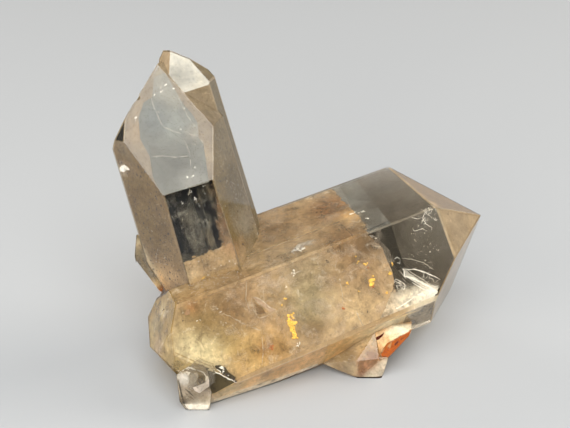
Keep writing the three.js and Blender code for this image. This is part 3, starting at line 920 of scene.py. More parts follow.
def crumbs(name, spots, material, seed):
    """Clusters of small rough crumbs: (from, to, spread, crumb size, how many), in mm."""
    rng = random.Random(seed)
    bm = bmesh.new()
    for *ends, spread, size, count in spots:
        start, end = Vector(ends[:3]), Vector(ends[3:])
        for _ in range(int(count)):
            along = rng.random()
            middle = start.lerp(end, along)
            away = spread * (1.0 - 0.6 * along)
            middle += Vector([rng.gauss(0, 0.5) * away for _ in range(3)]) - FRONT * rng.uniform(-0.05, 0.15)
            radius = size * rng.uniform(0.5, 1.1)
            made = bmesh.ops.create_icosphere(bm, subdivisions=2, radius=radius)["verts"]
            squash = Vector([rng.uniform(0.6, 1.1) for _ in range(3)])
            for v in made:
                bump = 1.0 + 0.5 * noise.noise(v.co * (1.6 / radius) + middle * 3)
                v.co = middle + Vector((v.co.x * squash.x, v.co.y * squash.y * 0.7, v.co.z * squash.z)) * bump
    # nothing may rise out of the crystal's front face
    at, n = planes(LYING, 0.08)[0]
    for v in bm.verts:
        over = (v.co - at).dot(n)
        if over > 0:
            v.co -= n * over
    ready(from_bmesh(name, bm), material)


def tuck(verts, walls):
    """Moves points that stand out of a solid to its walls."""
    for at, normal in walls:
        verts = [p - normal * max(0.0, (p - at).dot(normal)) for p in verts]
    return verts


def threads(name, lines, material, seed, facing=FACING, walls=IN_LYING):
    """Thin bright cracks: each is (points, width), in mm, drawn out to fine ends."""
    rng = random.Random(seed)
    verts, faces = [], []
    for points, width in lines:
        line = []
        for a, b in zip(points, points[1:]):
            steps = max(2, int((b - a).length / THREAD_STEP))
            line += [a.lerp(b, k / steps) for k in range(steps)]
        line.append(points[-1])
        start = len(verts)
        for i, p in enumerate(line):
            ahead = line[min(i + 1, len(line) - 1)] - line[max(i - 1, 0)]
            side = ahead.cross(facing).normalized()
            taper = math.sin(math.pi * (i + 0.4) / (len(line) - 0.2)) ** 0.6
            middle = p + side * rng.uniform(-WOBBLE, WOBBLE)
            half = side * width * 0.5 * taper * rng.uniform(0.6, 1.3)
            verts += [middle - half, middle + half]
        faces += [(start + 2 * i, start + 2 * i + 1, start + 2 * i + 3, start + 2 * i + 2)
                  for i in range(len(line) - 1)]
    ready(mesh_of(name, tuck(verts, walls), faces), material)


def glints(name, spots, material, seed, facing=FACING, walls=IN_LYING):
    """Painted glints, drawn as small bright flakes: (place, size, how many), in mm."""
    rng = random.Random(seed)
    verts, faces = [], []
    for *place, size, count in spots:
        for _ in range(int(count)):
            normal = (facing + Vector([rng.uniform(-0.5, 0.5) for _ in range(3)])).normalized()
            u, v = span(normal)
            middle = Vector(place) + (u * rng.gauss(0, 0.6) + v * rng.gauss(0, 0.6)) * size
            radius, turn = size * rng.uniform(0.3, 0.7), rng.uniform(0, ANY_TURN)
            stretch = rng.uniform(0.25, 0.8)
            corners = []
            for k in range(FLAKE_CORNERS):
                a = k / FLAKE_CORNERS * math.tau + rng.uniform(-0.4, 0.4)
                x, y = radius * math.cos(a), radius * math.sin(a) * stretch
                corners.append(middle + u * (x * math.cos(turn) - y * math.sin(turn))
                               + v * (x * math.sin(turn) + y * math.cos(turn)))
            faces.append(tuple(range(len(verts), len(verts) + FLAKE_CORNERS)))
            verts += corners
    ready(mesh_of(name, tuck(verts, walls), faces), material)


def fan(poly):
    """A flat polygon as triangles, and their weights for a random choice."""
    parts = [(poly[0], a, b) for a, b in zip(poly[1:], poly[2:])]
    return parts, [(b - a).cross(c - a).length for a, b, c in parts]


def specks(name, poly, count, sizes, material, seed):
    """Fine dark specks scattered on a flat polygon."""
    rng = random.Random(seed)
    normal = (poly[1] - poly[0]).cross(poly[2] - poly[0]).normalized()
    verts, faces = [], []
    for _ in range(count):
        a, b, c = rng.choices(*fan(poly))[0]
        s, t = rng.random(), rng.random()
        if s + t > 1:
            s, t = 1 - s, 1 - t
        middle = a + (b - a) * s + (c - a) * t
        u, v = span(normal)
        radius = rng.uniform(*sizes) * (2.0 if rng.random() < LARGE_SPECKS else 1.0)
        corners = [middle + (u * math.cos(a) + v * math.sin(a)) * radius * rng.uniform(0.6, 1.2)
                   for a in (k * SPECK_STEP for k in range(SPECK_CORNERS))]
        faces.append(tuple(range(len(verts), len(verts) + SPECK_CORNERS)))
        verts += corners
    ready(mesh_of(name, verts, faces), material)


def strays(poly, count, length, width, seed, normal):
    """Short faint cracks scattered on a flat polygon."""
    rng = random.Random(seed)
    u, v = span(normal)
    out = []
    for _ in range(count):
        a, b, c = rng.choices(*fan(poly))[0]
        x, y, z = rng.random(), rng.random(), rng.random()
        middle = (a * x + b * y + c * z) / (x + y + z)
        turn, bend, reach = rng.uniform(0, ANY_TURN), rng.uniform(-0.3, 0.3), length * rng.uniform(0.4, 1.0)
        ahead = u * math.cos(turn) + v * math.sin(turn)
        across = normal.cross(ahead)
        points = [middle + ahead * reach * (k - 1.5) / 3 + across * reach * bend * (1 - (k - 1.5) ** 2 / 2.25)
                  for k in range(4)]
        out.append((points, width * rng.uniform(0.5, 1.2)))
    return out


GOLD = bright_material("gold_flecks", "#fcce5c", 0.1, 0.25, 1800.0, 0.45)
RUST = bright_material("rust_flecks", "#b06224", 0.1, 0.3, 1500.0, 0.5)
DARK = bright_material("dark_specks", "#382a1c", 0.0, 0.3, 1500.0, 0.5)
# White, for painted glints, and for the white cracks, squiggles and dots.
WHITE = bright_material("white_glints_and_flaws", "#faf6e8", 0.35, 0.1, 1200.0, 0.3)
CRACK = bright_material("cracks", "#e4d8c0", 0.4, 0.15, 1200.0, 0.5, (0.15, 0.7))

crumbs("gold", table("""
    -2.8 -11.9 13.9 -2.4 -12.8 12.4 1.25 0.3 60; -2.3 -12.7 12.7 -1.5 -14.2 10.2 0.75 0.28 60;
    -3.7 -10.4 16.6 -3.3 -10 17 0.4 0.2 8; -4.3 -11.2 15.7 -4.1 -11.1 15.9 0.3 0.18 4;
    13.4 -5 17.6 13.2 -5.6 16.7 0.9 0.3 36; 11.8 -3.4 20.4 12.4 -3.5 20.1 0.6 0.24 16;
    10.6 -3.5 20.8 10.7 -3.5 20.8 0.5 0.16 5; 8.5 -6.3 17.6 8.5 -6.2 17.8 0.6 0.2 8;
    16.3 -5.6 15.3 16.6 -5.5 15.4 0.6 0.2 8; 16.6 -3.7 18 17.2 -3.3 18.4 0.5 0.18 8;
    17.4 -2.2 19.8 17.4 -2.6 19.2 0.3 0.15 4; 10.8 -6.6 16.2 10.9 -6.6 16.1 0.4 0.14 3;
    10.2 -3 21.7 10.3 -3 21.8 0.3 0.14 3
"""), GOLD, 3)
crumbs("rust", table("""
    7.7 -9.2 13.7 7.9 -9.2 13.7 0.5 0.2 6; 13.2 -5.7 16.5 13.6 -5.7 16.5 0.5 0.2 6;
    -6.8 -16.2 9.4 -6 -16 9.6 0.7 0.22 7; 12.4 -3.8 19.8 12.6 -3.8 19.7 0.3 0.16 3
"""), RUST, 4)
crumbs("dark_grains", table("""
    11.4 -8.8 12.7 11.4 -8.8 12.7 0.1 0.14 2; 12.4 -8.6 12.6 12.4 -8.6 12.6 0.15 0.18 2;
    4.6 -4.7 21.6 4.9 -4.7 21.5 0.3 0.15 4; 0.4 -12.2 10.6 1.6 -11.8 10.9 0.7 0.2 10;
    -22.9 -16 16 -22.9 -16 16 0.3 0.2 3; -21.6 -17.4 12.6 -21.2 -17.2 12.4 0.5 0.2 6;
    -23.6 -16.9 14.9 -23.6 -16.9 14.9 0.2 0.15 2; -28.7 -8 11.6 -28 -9.4 12.9 0.4 0.14 4;
    -26.6 -11.1 15 -25.4 -12.5 16.5 0.5 0.14 6; -27.1 -13.3 12 -27.4 -13.5 10.7 0.4 0.13 5;
    -25.8 -13.8 14.7 -24.6 -15 16.6 0.4 0.14 6
"""), DARK, 5)
CREAMY = bright_material("cream_edges", "#fae4b8", 0.35, 0.2, 900.0, 0.5)
# Painted light: a cream glow along the left face's lower edge.
threads("cream_left", marked("""
    0.9: -32.6 2.8 21.6, -31.8 2.2 20.2, -30.8 1.4 18, -29.6 0.2 16.1, -28.2 -1.2 14.5, -27 -2.6 13.6
"""), CREAMY, 26, FACING, IN_STANDING + [LOW_LEFT])
threads("cream_flake", marked("0.5: -33.1 4.5 20.8, -32.3 4.6 16.2, -30.6 4.6 11.8, -29.4 4.7 9.6"), CREAMY, 28,
        FACING, hull_planes(SLIVER, 0.1))
# Painted light: cream threads along the lower rims, where light comes through the crystal.
threads("rim_light", marked("""
    1: -19 -21.3 1.4, -13.2 -18.9 1.6, -9 -16.7 1.8, -5.5 -14.8 1.7, -0.6 -12.4 2.1, 2.9 -10.8 2.5;
    0.9: 16.8 -8 10.4, 19.4 -6.9 10.6, 22.4 -5.6 10.8
"""), CREAMY, 27)
threads("cracks_lying", marked("""
    0.3: -9.2 -11.5 17.3, -8.3 -11.8 16.4, -7.2 -11.9 15.8, -5.8 -11.8 15.4;
    0.14: -16.2 -14.1 16.3, -14 -14.1 15.4, -10.9 -14.5 13.6, -7.9 -14.5 12.3;
    0.12: -10.8 -9.9 20.3, -11 -11.8 17.5, -10 -13.2 15.1; 0.12: -7.9 -15 11.6, -7.7 -16.5 9.3, -7.9 -18.2 7;
    0.2: 10.2 -8.9 13, 10.8 -9.5 11.8, 11.6 -10.3 10.5; 0.1: 7.1 -6.1 18.4, 7.7 -8.2 15.1, 7.3 -9.6 13.3;
    0.2: -4 -7.8 20, -1.8 -7.2 20.5, -0.2 -6.6 20.9;
    0.18: -9.8 -11.3 17.9, -8.7 -11.2 17.6, -7.5 -11.4 16.8, -6.4 -11.8 15.7, -5.3 -11.8 15.2;
    0.12: -9.8 -12.2 16.4, -8.7 -13.3 14.4, -6.8 -12.7 14.5, -5.3 -11.8 15.2;
    0.14: -9.8 -12.2 16.4, -9.8 -11.3 17.9
""") + strays(path("-20 -15.5 13.5, -8 -10 19.5, 12 -2.6 21.5, 14 -7.5 13, -2 -14.5 9"),
              60, 1.6, 0.07, 32, FRONT), CRACK, 6, FRONT)
glints("glints_lying", table("""
    -1.8 -7.2 20.5 0.5 5; -3.2 -8.9 18.6 0.3 3; -16.4 -13.8 16.8 0.25 3; -15.6 -13.9 16.4 0.25 2;
    -19.8 -15.7 15.6 0.25 2; -7.7 -8.6 20.9 0.3 2; -0.9 -14.6 9.2 0.45 6; -14.7 -15 14.4 0.2 2;
    9.5 -0.5 25.6 0.3 3; 7.1 -6.1 18.4 0.25 2; 5.8 -3.9 22.2 0.2 2
"""), WHITE, 7, FRONT)
PANE_FACING = planes(STANDING)[6][1]
threads("cracks_pane", marked("""
    0.13: -29.4 10.4 50.6, -28.8 8.4 48.8, -27.8 6.7 47.3, -26.8 5.1 46;
    0.14: -26.7 5 45.8, -24.8 4.4 45.3, -23.3 4 44.9; 0.12: -22.7 4.4 45.3, -20 3.5 44.4, -19.4 2.9 43.9;
    0.12: -29.6 0.3 41.8, -27.1 0.5 42, -24.1 0.4 41.8, -20.5 0.6 42;
    0.13: -28 7.5 48, -26.6 6.9 47.4, -25.5 7.4 47.8;
    0.1: -24.6 10.8 50.9, -23.4 8.6 49, -22 6.6 47.2, -20.6 5 45.8;
    0.12: -26.9 12.9 52.6, -27.4 11 51.2, -26.6 9.6 50; 0.09: -22.8 3.4 44.4, -21.6 1.2 42.4, -21.2 -1.6 40
""") + strays(PANE[8:16], 30, 1.8, 0.05, 31, PANE_FACING), CRACK, 8, PANE_FACING, IN_STANDING)
glints("glints_pane", table("""
    -25 11.1 51.1 0.45 2; -28.5 10 50.2 0.4 3; -26.4 11.6 51.6 0.35 4; -23.5 4.6 45.4 0.35 4;
    -24.4 2.4 43.5 0.15 1; -21.9 -2.8 39 0.35 4; -21 -2.6 39.1 0.3 3; -20.5 -1.1 40.4 0.3 2;
    -27.7 0.2 41.7 0.25 2; -31.8 6.3 47.1 0.35 3; -22.6 8.2 48.5 0.2 2; -23.6 4.9 45.5 0.3 4;
    -27.2 10.4 50.6 0.3 3; -22.8 1.6 42.6 0.12 3
"""), WHITE, 9, PANE_FACING, IN_STANDING)
glints("glints_standing", table("""
    -21.3 -3.7 37 0.3 3; -20.6 -3.9 35.2 0.3 5; -19 -3.1 37.5 0.25 3; -18.7 -3.3 36.1 0.2 3;
    -22.8 -4.5 34.7 0.25 3; -19.9 -3.9 34 0.2 4; -13.2 -5.9 22 0.2 3; -15.8 -6.5 22.1 0.15 3;
    -14.1 -6 22.7 0.2 3; -18.4 -7.6 20.4 0.15 3; -17 -7 21.6 0.12 4; -20 -7.4 23.4 0.12 4; -9.8 6 23.2 0.35 5;
    -9.3 5.6 21.8 0.3 4; -10.3 6.2 25.3 0.25 3; -12.6 -3 24 0.2 4; -11.4 -1 22.6 0.15 3; -14.6 -5.6 24 0.2 3
"""), WHITE, 10, FACING, IN_STANDING)
MIST = bright_material("mist", "#c4bca6", 0.4, 0.15, 1200.0, 0.6, (0.0, 0.32))
VEIL_AREA = path("-24.6 -5.6 33, -21 -4.2 36.4, -18 -4 35, -18.2 -6 27, -21.5 -6.6 26")
STANDING_FRONT = planes(STANDING)[0][1]
threads("veil_wisps", marked("""
    0.7: -25 -5.7 32.6, -24.5 -6 32, -23.2 -5.5 32.9, -21.7 -5 33.5;
    0.6: -20.7 -5.1 32.4, -20 -5.2 31.3, -20.3 -5.6 29.8, -19.8 -5.8 28.7;
    0.5: -21.3 -6.3 28.1, -20.8 -6.5 26.7, -19.8 -6.2 27.1, -19.3 -6.3 26, -19.5 -6.7 24.5;
    0.5: -18.5 -4.9 31.4, -18 -5.1 30, -18.3 -5.4 29; 0.4: -23.2 -5 35.2, -22.9 -5.1 34.4, -22.2 -4.8 34.8;
    0.4: -17.9 -3.6 35.9, -17.6 -3.7 35.1, -17.2 -3.6 35.3
""") + strays(VEIL_AREA, 60, 1.3, 0.12, 38, STANDING_FRONT), MIST, 39, FACING, IN_STANDING)
threads("veil_streaks", marked("""
    0.28: -21.4 -4 37.2, -21.7 -4.4 36.3; 0.2: -18.9 -3.5 37.2, -19.1 -3.7 36.5;
    0.24: -20.3 -4.2 35.6, -20.2 -4.6 34.6
""") + strays(VEIL_AREA, 16, 0.6, 0.07, 41, STANDING_FRONT), CRACK, 39, FACING, IN_STANDING)
threads("rusty_fringe", marked("""
    0.5: -16.6 -4 32.1, -15.5 -4.2 31.3, -15 -4.3 30.4, -14.2 -4.6 28.6;
    0.35: -16.9 -4.1 31.2, -15.7 -4.5 29.6, -15 -5 27.6; 0.4: -16.6 -4.6 29.6, -15.4 -4.9 28, -14.8 -5.4 25.6;
    0.3: -17.3 -3.6 33.9, -16.3 -3.5 33.3, -15.8 -3.6 32.3
"""), bright_material("rusty_fringe", "#967654", 0.3, 0.2, 1500.0, 0.6, (0.1, 0.7)), 40, FACING, IN_STANDING)
crumbs("gold_standing", table("-19.5 -7.9 19.8 -18.9 -7.7 20.2 0.3 0.16 8"), GOLD, 12)
# Painted highlight: the outline of a bright glint on the left face.
glint_outline = path("""
    -35.3 4.7 36.5, -35.3 4.8 37.2, -34.9 4.2 38, -34.3 3.3 38.7, -33.6 2.4 38.6, -33.2 1.9 38.2,
    -33.9 2.9 37.7, -34.5 3.6 36.9
""")
glint_outline = clip(flatten(glint_outline, planes(STANDING, 0.15)[5]), [planes(STANDING, 0.2)[4]])
film("glint_left", glint_outline, GLASSY, "#fffaee", 0.9, table("-34.6 3.8 37.4 0.5 #fffffa 1.6"), 0.3)
LEFT = clip(on_plane(*planes(STANDING, 0.2)[5]), but(planes(STANDING, 0.6), 5) + LEFT_FOOT + [LOW_LEFT])
specks("specks_left", LEFT, 620, (0.06, 0.17), DARK, 13)
RIGHT = clip(on_plane(*planes(STANDING, 0.2)[1]), but(planes(STANDING, 0.6), 1) + AWAY)
specks("specks_right", RIGHT, 420, (0.04, 0.12), DARK, 14)
threads("cracks_taller", marked("""
    0.25: -20.2 11 47.9, -18.8 11.1 47, -17.5 11.2 46.1; 0.15: -20.6 10.6 47.2, -19.6 10.6 46.9, -19 10.7 46.4
"""), WHITE, 35, FACING, planes(TALLER, 0.1))
threads("cracks_standing", marked("""
    0.25: -10.9 6.6 27.3, -10.4 6.4 26, -9.8 6.8 24.1, -9.2 6.2 21.8;
    0.1: -15.7 1 37.4, -15.5 -0.2 35, -15.2 -2 32; 0.12: -28.2 -2.6 23.3, -28.6 -1.9 21.5, -28.7 -1.4 19.8;
    0.12: -28.2 -2.6 23.3, -26.8 -3.9 22.4, -25.7 -4.9 21.6;
    0.1: -28.7 -1.4 19.8, -27.3 -3 20.2, -25.9 -4.6 20.8
""") + strays(RIGHT, 70, 1.6, 0.09, 36, planes(STANDING)[1][1])
  + strays(LEFT, 24, 1.0, 0.08, 37, planes(STANDING)[5][1]), CRACK, 23, FACING, IN_STANDING)
specks("light_specks_left", LEFT, 120, (0.04, 0.1), CRACK, 18)
specks("light_specks_right", RIGHT, 160, (0.04, 0.12), CRACK, 19)

decals("foot_window", planes(LYING) + breaks(), SEEN_FOOT, marked("""
    #5c5036 0.95: -19 -21.3 8.2, -16.4 -20.6 6.9, -12.6 -20.9 4.9, -15.8 -22.6 3.1, -18.9 -23.2 5
"""), DULL, [planes(LYING, 0.4)[1]], 0.35)
lens = path("""
    -16.9 -20.1 8.2, -15.8 -19.8 8.1, -14.8 -19.8 7.6, -14.2 -20.2 6.8, -13.5 -20.4 6.3, -12.8 -20.6 5.8,
    -13 -20.8 5.4, -14.5 -20.7 6.1, -15.8 -20.4 7.3, -16.5 -20.3 7.7
""")
core = [lens[k].lerp(lens[3 - k], 0.3) for k in range(4)]
for name, deep, rgb, poly, material in (("lens_dark", 0.3, "#463e2e", lens, DULL),
                                        ("lens_white", 0.2, "#faf4e2", core, BLOTCHY)):
    walls = planes(LYING, deep)
    film(name, clip(flatten(poly, walls[0]), walls[1:]), material, rgb, 1.0, (), 0.4)
# The pale rim along the crystal's lower edge: painted light, where light coming through the crystal brightens
# it.
rim = path("""
    -18.4 -21.9 1, -13.2 -19.5 1.8, -9 -17.2 1.9, -5.5 -15.3 1.8, -0.6 -12.9 2.1, 2.9 -11.3 2.4, 2.9 -10.9 1.6,
    -0.6 -12.4 1, -5.5 -14.7 0.4, -18.4 -20.9 0.3
""")
film("rim", clip(flatten(rim, planes(LYING, 0.25)[1]), GROUND + breaks(0.3)), CREAM, "#f6ead2", 0.9, table("""
    -8.4 -17 1.9 0.5 #78644c 0.9; -5.8 -15.4 1.5 0.4 #826c50 0.9; -14 -19.6 1.4 0.5 #e2ceaa 0.8
"""), 0.4)
join("chip_figure", [
    sheet("chip_light", path("""
    -9.8 -11.3 17.9, -8.7 -11.2 17.6, -7.5 -11.4 16.8, -5.3 -11.8 15.2, -6.4 -12.2 15
"""), CREAM, "#ceb498", 0.6, (), 0.5),
    sheet("chip_dark", path("-9.4 -11.9 16.9, -8 -12 16.2, -7.2 -12.5 15, -8.8 -13 15"),
          CREAM, "#806646", 0.6, (), 0.5),
    sheet("chip_pink", path("-22.6 -15.6 16.6, -22 -15 17.6, -21.4 -14.9 17.4, -21.5 -15.4 16.6"),
          CREAM, "#b4906c", 0.6, (), 0.5),
    # Painted highlight: a pale bluish sheen on the top face.
    sheet("blue_highlight", path("""
    -1 -1.1 23.3, 2.5 -0.1 24, 2.9 -1.9 24, 0.3 -4.8 23.5, -1.1 -5.5 23.2, -2.3 -3.5 23
"""), VEILED, "#cec8ba", 1.0, table("-1.4 -3.4 23.1 1 #e2e0d6 1.6"), 0.5),
])
threads("foot_cracks", marked("""
    0.28: -17.2 -21.4 7.9, -16 -20.9 7, -14.6 -20.8 6, -12.6 -21 4.9;
    0.22: -16.4 -20.4 7.6, -15.4 -20.5 6.9, -14.3 -20.6 6.3, -13.2 -20.8 5.5;
    0.35: -23.3 -22.7 7.6, -23.3 -22.7 4.6, -22.7 -22.8 1.6;
    0.3: -21.9 -22.8 7, -21.3 -22.7 8.2, -20.4 -22.9 8.6
"""), WHITE, 21, FACING)
threads("foot_arcs", marked("""
    0.16: -20 -22.7 9, -18.8 -22.9 8.6, -18.2 -23 7.5, -18.1 -23 5.9, -18.9 -23.1 4.4;
    0.25: -22.9 -21.2 7.8, -22 -21 8.3, -20.7 -22.3 9.1, -20.2 -22.8 9;
    0.16: -22.6 -22.5 7.4, -22 -22.7 6, -21.5 -22.8 4.6, -20.4 -22.9 4.2;
    0.2: -22.1 -22.8 2.5, -19.8 -23 3.5, -18.2 -23.2 4.3; 0.1: -19.6 -23.1 7.6, -19 -23.1 6.8, -19.4 -23.1 5.6
"""), WHITE, 28, FACING, ())
glints("foot_glints", table("""
    -15.6 -20.4 7.1 0.35 5; -14.4 -20.6 6.3 0.3 5; -13.2 -20.8 5.5 0.2 3; -20.2 -21.8 7.8 0.4 5
"""), WHITE, 24, FRONT)
crumbs("foot_grains", table("""
    -15.8 -20.4 7.2 -14.4 -20.6 6.4 0.35 0.24 9; -13.6 -20.8 5.9 -12.8 -20.9 5.2 0.25 0.2 6
"""), DARK, 22)

# ---- The clear end: a fracture, arcs and dots ------------------------------------------------

threads("fracture", marked("""
    0.75: 19 -0.9 18.2, 20.5 -1.5 16.9, 22.9 -2 15.3, 24.9 -2.3 14, 26.2 -2.6 12.9;
    0.25: 19.6 -0.9 18, 21.4 -1.2 16.8, 23.6 -1.5 15.4, 25.4 -1.9 14.1;
    0.2: 18.6 -1.3 17.6, 20 -2 16.2, 22.3 -2.6 14.6, 24.3 -3 13.4;
    0.12: 17 -0.2 20, 17.1 0.6 21.3, 18.1 1 21.5, 18.7 0.7 20.8, 18.1 0 20;
    0.1: 17.2 -0.5 19.6, 17.6 0.2 20.8, 18.3 0.4 20.9;
    0.14: 19.3 0 19.5, 21.3 0.3 19.1, 23.7 0.4 18.2, 25.7 0 16.8;
    0.16: 17.3 -3.1 15.7, 18.1 -2.5 16.3, 18.9 -2.6 15.9, 19.3 -3.1 15;
    0.14: 16.9 -3.4 15.4, 18 -2.9 16, 19.2 -3 15.4;
    0.4: 19.6 -2.2 18.7, 19.9 -3 17.3, 21.8 -2.9 16.6, 24.5 -3.2 15.1, 26.5 -3.5 13.9;
    0.3: 21.4 -3.4 16.1, 23.4 -3.7 14.8, 26.4 -3.7 13.6;
    0.22: 19.4 -2.4 18.4, 21.8 -1.9 18.2, 23.8 -1.8 17.5, 27 -2 15.9;
    0.7: 22.4 -4.6 14, 24.4 -4 13.8, 26.3 -3.4 13.5;
    0.3: 16.4 -8.4 10.9, 18.3 -7.4 11.3, 20.4 -6.7 11.8, 23 -5.4 12.4;
    0.22: 18 -7 12.2, 20 -6 12.9, 22.2 -4.8 13.9;
    0.12: 18.1 -4.2 16.3, 19.1 -3.7 16.6, 19.9 -4 15.8, 19.7 -4.5 15.1, 18.9 -4.3 15.8;
    0.12: 17.8 -1.6 20.3, 18.4 -1.2 20.6, 19 -1.3 20.1, 18.9 -1.8 19.4, 18.3 -1.9 19.7
"""), WHITE, 15)
film("fracture_face", path("""
    19.8 -2.6 17.6, 21.8 -2.5 16.8, 24.5 -2.9 15.3, 26.5 -3.3 14, 26.4 -3.5 13.6, 23.6 -3.5 15, 21 -3.1 16.5
"""), GLASSY, "#fffaec", 1.3, (), 0.4)
# A dark gap under the fracture, and above it painted shade, standing in for the dark seen through the clear
# end.
join("dark_gap_and_shade", [
    sheet("gap_low", path("20.1 -2.9 17, 24.1 -3.6 14.3, 22.4 -4.3 14, 20.4 -4.1 15"),
          DULL, "#3a342a", 0.8, (), 0.5),
    sheet("shade_high", clip(path("""
    12.4 1.4 25.4, 16.9 3.6 26.2, 18.6 -0.1 22.1, 20 -2 18.6, 18.4 -2.4 18.2, 17.4 -2 19.7, 16.9 -0.8 21.9,
    15 -0.1 23.6
"""), planes(LYING, 0.45)),
          DULL, "#2e2a20", 0.9, (), 0.5),
])
glints("glints_end", table("""
    25.2 -4 13.3 0.6 8; 23.2 -4.8 13.2 0.5 7; 20.6 -6 12.5 0.5 6; 18.2 -6.8 12.4 0.4 5; 26.2 -3.5 13.6 0.4 5;
    18.8 -4.1 16 0.3 4
"""), WHITE, 25, FRONT)
# Painted light: a bright zone along the lower front edge, where light comes through the crystal.
near = planes(LYING, 0.7)
poly = clip(on_plane(*near[0]), near[2:] + [planes(LYING, 0.3)[1], (Vector((8, 0, 0)), Vector((-1, 0, 0)))])
film("white_zone", poly, GLASSY, "#faecd0", 0.0, table("""
    25.2 -4.2 13.2 1.3 #fffaec 1.3; 22.9 -5 13.2 1.5 #fff6e0 1.2; 20.3 -6 13 1.5 #fff2d6 1.1;
    17.3 -7.2 12.6 1.5 #fae8c6 1; 14.5 -8.4 12 1.3 #f4deb8 0.7; 16.5 -6.6 14.4 0.9 #f4deb8 0.5
"""), 0.5, 0.12)
MOTTLED = cloud("haze_mottled", (0.2, 1.0), 300, 53.0, 0.3, 0.2, (0.36, 0.66), 0.0)
haze("haze_clear_end", LYING, 0.7, {
    5: (MOTTLED, "#968c7a", 0.3, table("""
    11 14 25.7 2.2 #a0a096 0.55; 14.5 14 26.3 1.6 #605848 0.35; 17 8 26.8 2.5 #6e6454 0.4;
    24.3 4 27.8 1.2 #baae96 0.6
""")),
    # Face 0: painted shade, dark patches standing in for the dark seen through the clear end.
    0: (MOTTLED, "#544e42", 0.0, table("""
    23 2 24 2.2 #6e6658 0.5; 17.6 2.2 25.2 2.2 #343026 0.9; 20.4 1.6 23.4 1.8 #423c30 0.65;
    21.5 -1.6 18.8 2 #544e42 0.5; 25.4 0.4 20 2.6 #5c5648 0.55; 27.6 1.6 20.6 2 #5c5648 0.5
""")),
    1: (GLASSY, "#e8d6b6", 0.55, table("22 -6 12 2 #fff6de 0.9; 26 -3.6 10.6 1.2 #786e5a 0.8")),
}, [(Vector((9.0, 0, 0)), Vector((-0.92, -0.38, 0)))], 1.0)
near = planes(LYING, 0.55)
poly = clip(on_plane(*near[5]), but(near, 5) + [(Vector((5, 0, 0)), Vector((-1, 0, 0)))]
            + fence(path("11.7 19.6 25.9, 16.9 2.8 26.6"), -TOP))
film("top_step", poly, MOTTLED, "#9e9c90", 0.42)
threads("squiggles", marked("""
    0.1: 23.4 5.6 27.2, 24.1 4.7 27.3, 23.5 3.9 26.4, 24.2 3.4 25.4, 25.4 3.2 24.6, 25.2 2.9 24.2;
    0.09: 25.5 5.6 27.5, 24 5.1 27.2, 24.6 4.4 26.7;
    0.09: 21.5 2.4 25.1, 21.8 2.1 24.5, 23.5 2.7 24.7, 24.5 2.7 24.2;
    0.08: 21.2 3.6 26.8, 22.5 3.6 26.3, 23.4 4 26.5; 0.08: 24.9 6.6 27.4, 26 5.8 27.6, 26.4 4.4 27.5
""") + strays(path("22.4 5.2 27.2, 26.4 6 27.6, 26.4 3 25.4, 22.6 2.6 25.4"), 26, 1.1, 0.07, 33, FACING)
  + strays(path("19.5 -1 18.6, 26.6 -2 17.2, 26.4 -3.4 13.6, 17 -7.4 11.6, 18.6 -3.6 16.4"),
           60, 1.4, 0.09, 34, FRONT), WHITE, 20, FACING)
specks("dots_tip", path("21 3 23.8, 25.5 4.2 22.8, 27 2 20, 25 -0.5 16.5, 20.5 0.2 19.5"),
       56, (0.04, 0.11), WHITE, 16)
glints("glints_edge", table("""
    13.4 0.4 24.4 0.5 8; 14.2 0.2 24 0.4 6; 10 8.2 24.9 0.6 6; 12 8.1 25.2 0.5 5; 12.9 5.4 25.3 0.4 4;
    -1 -2.6 23 1 5
"""), WHITE, 17, TOP)

# ---- Floor, lights and camera ----------------------------------------------------------------

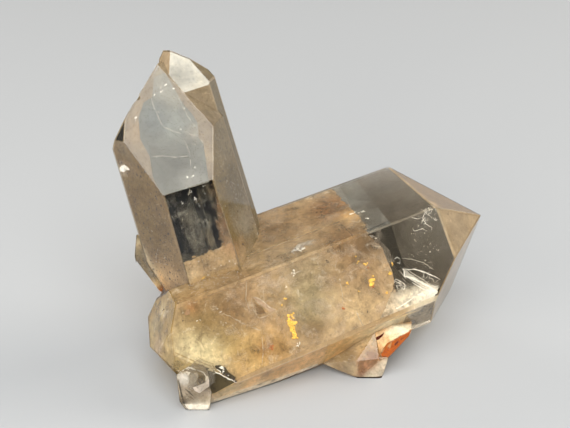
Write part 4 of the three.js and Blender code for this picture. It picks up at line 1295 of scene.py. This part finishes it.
FLOOR_SIZE, FLOOR_GREY, FLOOR_ROUGHNESS = 8, (0.47, 0.47, 0.465, 1.0), 0.6
SKY, SKY_STRENGTH = (0.55, 0.58, 0.62, 1.0), 0.4
AIM = Vector((0, 0, 0.02))
WARM = (1.0, 0.96, 0.9)
LAMPS = (  # name, place, size, watts, colour
    ("top", (0.02, -0.22, 0.55), (0.5, 0.5), 2.9, (0.9, 0.95, 1.0)),
    ("right_back", (0.5, 0.24, 0.45), (0.4, 0.4), 2.7, WARM),
    ("left", (-0.5, -0.3, 0.3), (0.4, 0.4), 1.3, WARM),
    ("left_back", (-0.5, 0.45, 0.3), (0.4, 0.4), 1.6, (1.0, 0.97, 0.92)),
    ("front_low", (-0.15, -0.7, 0.2), (0.5, 0.38), 3.5, WARM),
)
CAMERA_PLACE, CAMERA_TILT = (-0.0035, -0.23434, 0.1649), 60
CAMERA_LENS, SENSOR_WIDTH = 88.42, 36
BOUNCES, TRANSMISSION_BOUNCES, TRANSPARENT_BOUNCES = 24, 20, 40


def stand(name, data, place, turn):
    """Puts a lamp or the camera in its place."""
    obj = link(name, data)
    obj.location, obj.rotation_euler = place, turn
    return obj


bpy.ops.mesh.primitive_plane_add(size=FLOOR_SIZE, location=(0, 0, 0))
floor = bpy.context.object
floor.name = "floor"
t = Tree("floor")
plain = t.add("BsdfPrincipled", {"Base Color": FLOOR_GREY, "Roughness": FLOOR_ROUGHNESS})
floor.data.materials.append(t.finish(plain))

scene = bpy.context.scene
scene.world = bpy.data.worlds.new("studio")
scene.world.use_nodes = True
sky = scene.world.node_tree.nodes["Background"].inputs
sky["Color"].default_value, sky["Strength"].default_value = SKY, SKY_STRENGTH

for name, place, size, watts, colour in LAMPS:
    lamp = bpy.data.lights.new(name, "AREA")
    lamp.shape = "RECTANGLE"
    lamp.size, lamp.size_y = size
    lamp.energy, lamp.color = watts, colour
    stand(name, lamp, place, (AIM - Vector(place)).to_track_quat("-Z", "Y").to_euler())

lens = bpy.data.cameras.new("camera")
lens.sensor_width, lens.lens, lens.clip_start = SENSOR_WIDTH, CAMERA_LENS, 0.01
scene.camera = stand("camera", lens, CAMERA_PLACE, (math.radians(CAMERA_TILT), 0, 0))

scene.view_settings.view_transform = "Standard"
scene.cycles.max_bounces = BOUNCES
scene.cycles.transmission_bounces = TRANSMISSION_BOUNCES
scene.cycles.transparent_max_bounces = TRANSPARENT_BOUNCES
scene.cycles.use_denoising = True
scene.cycles.caustics_refractive = True
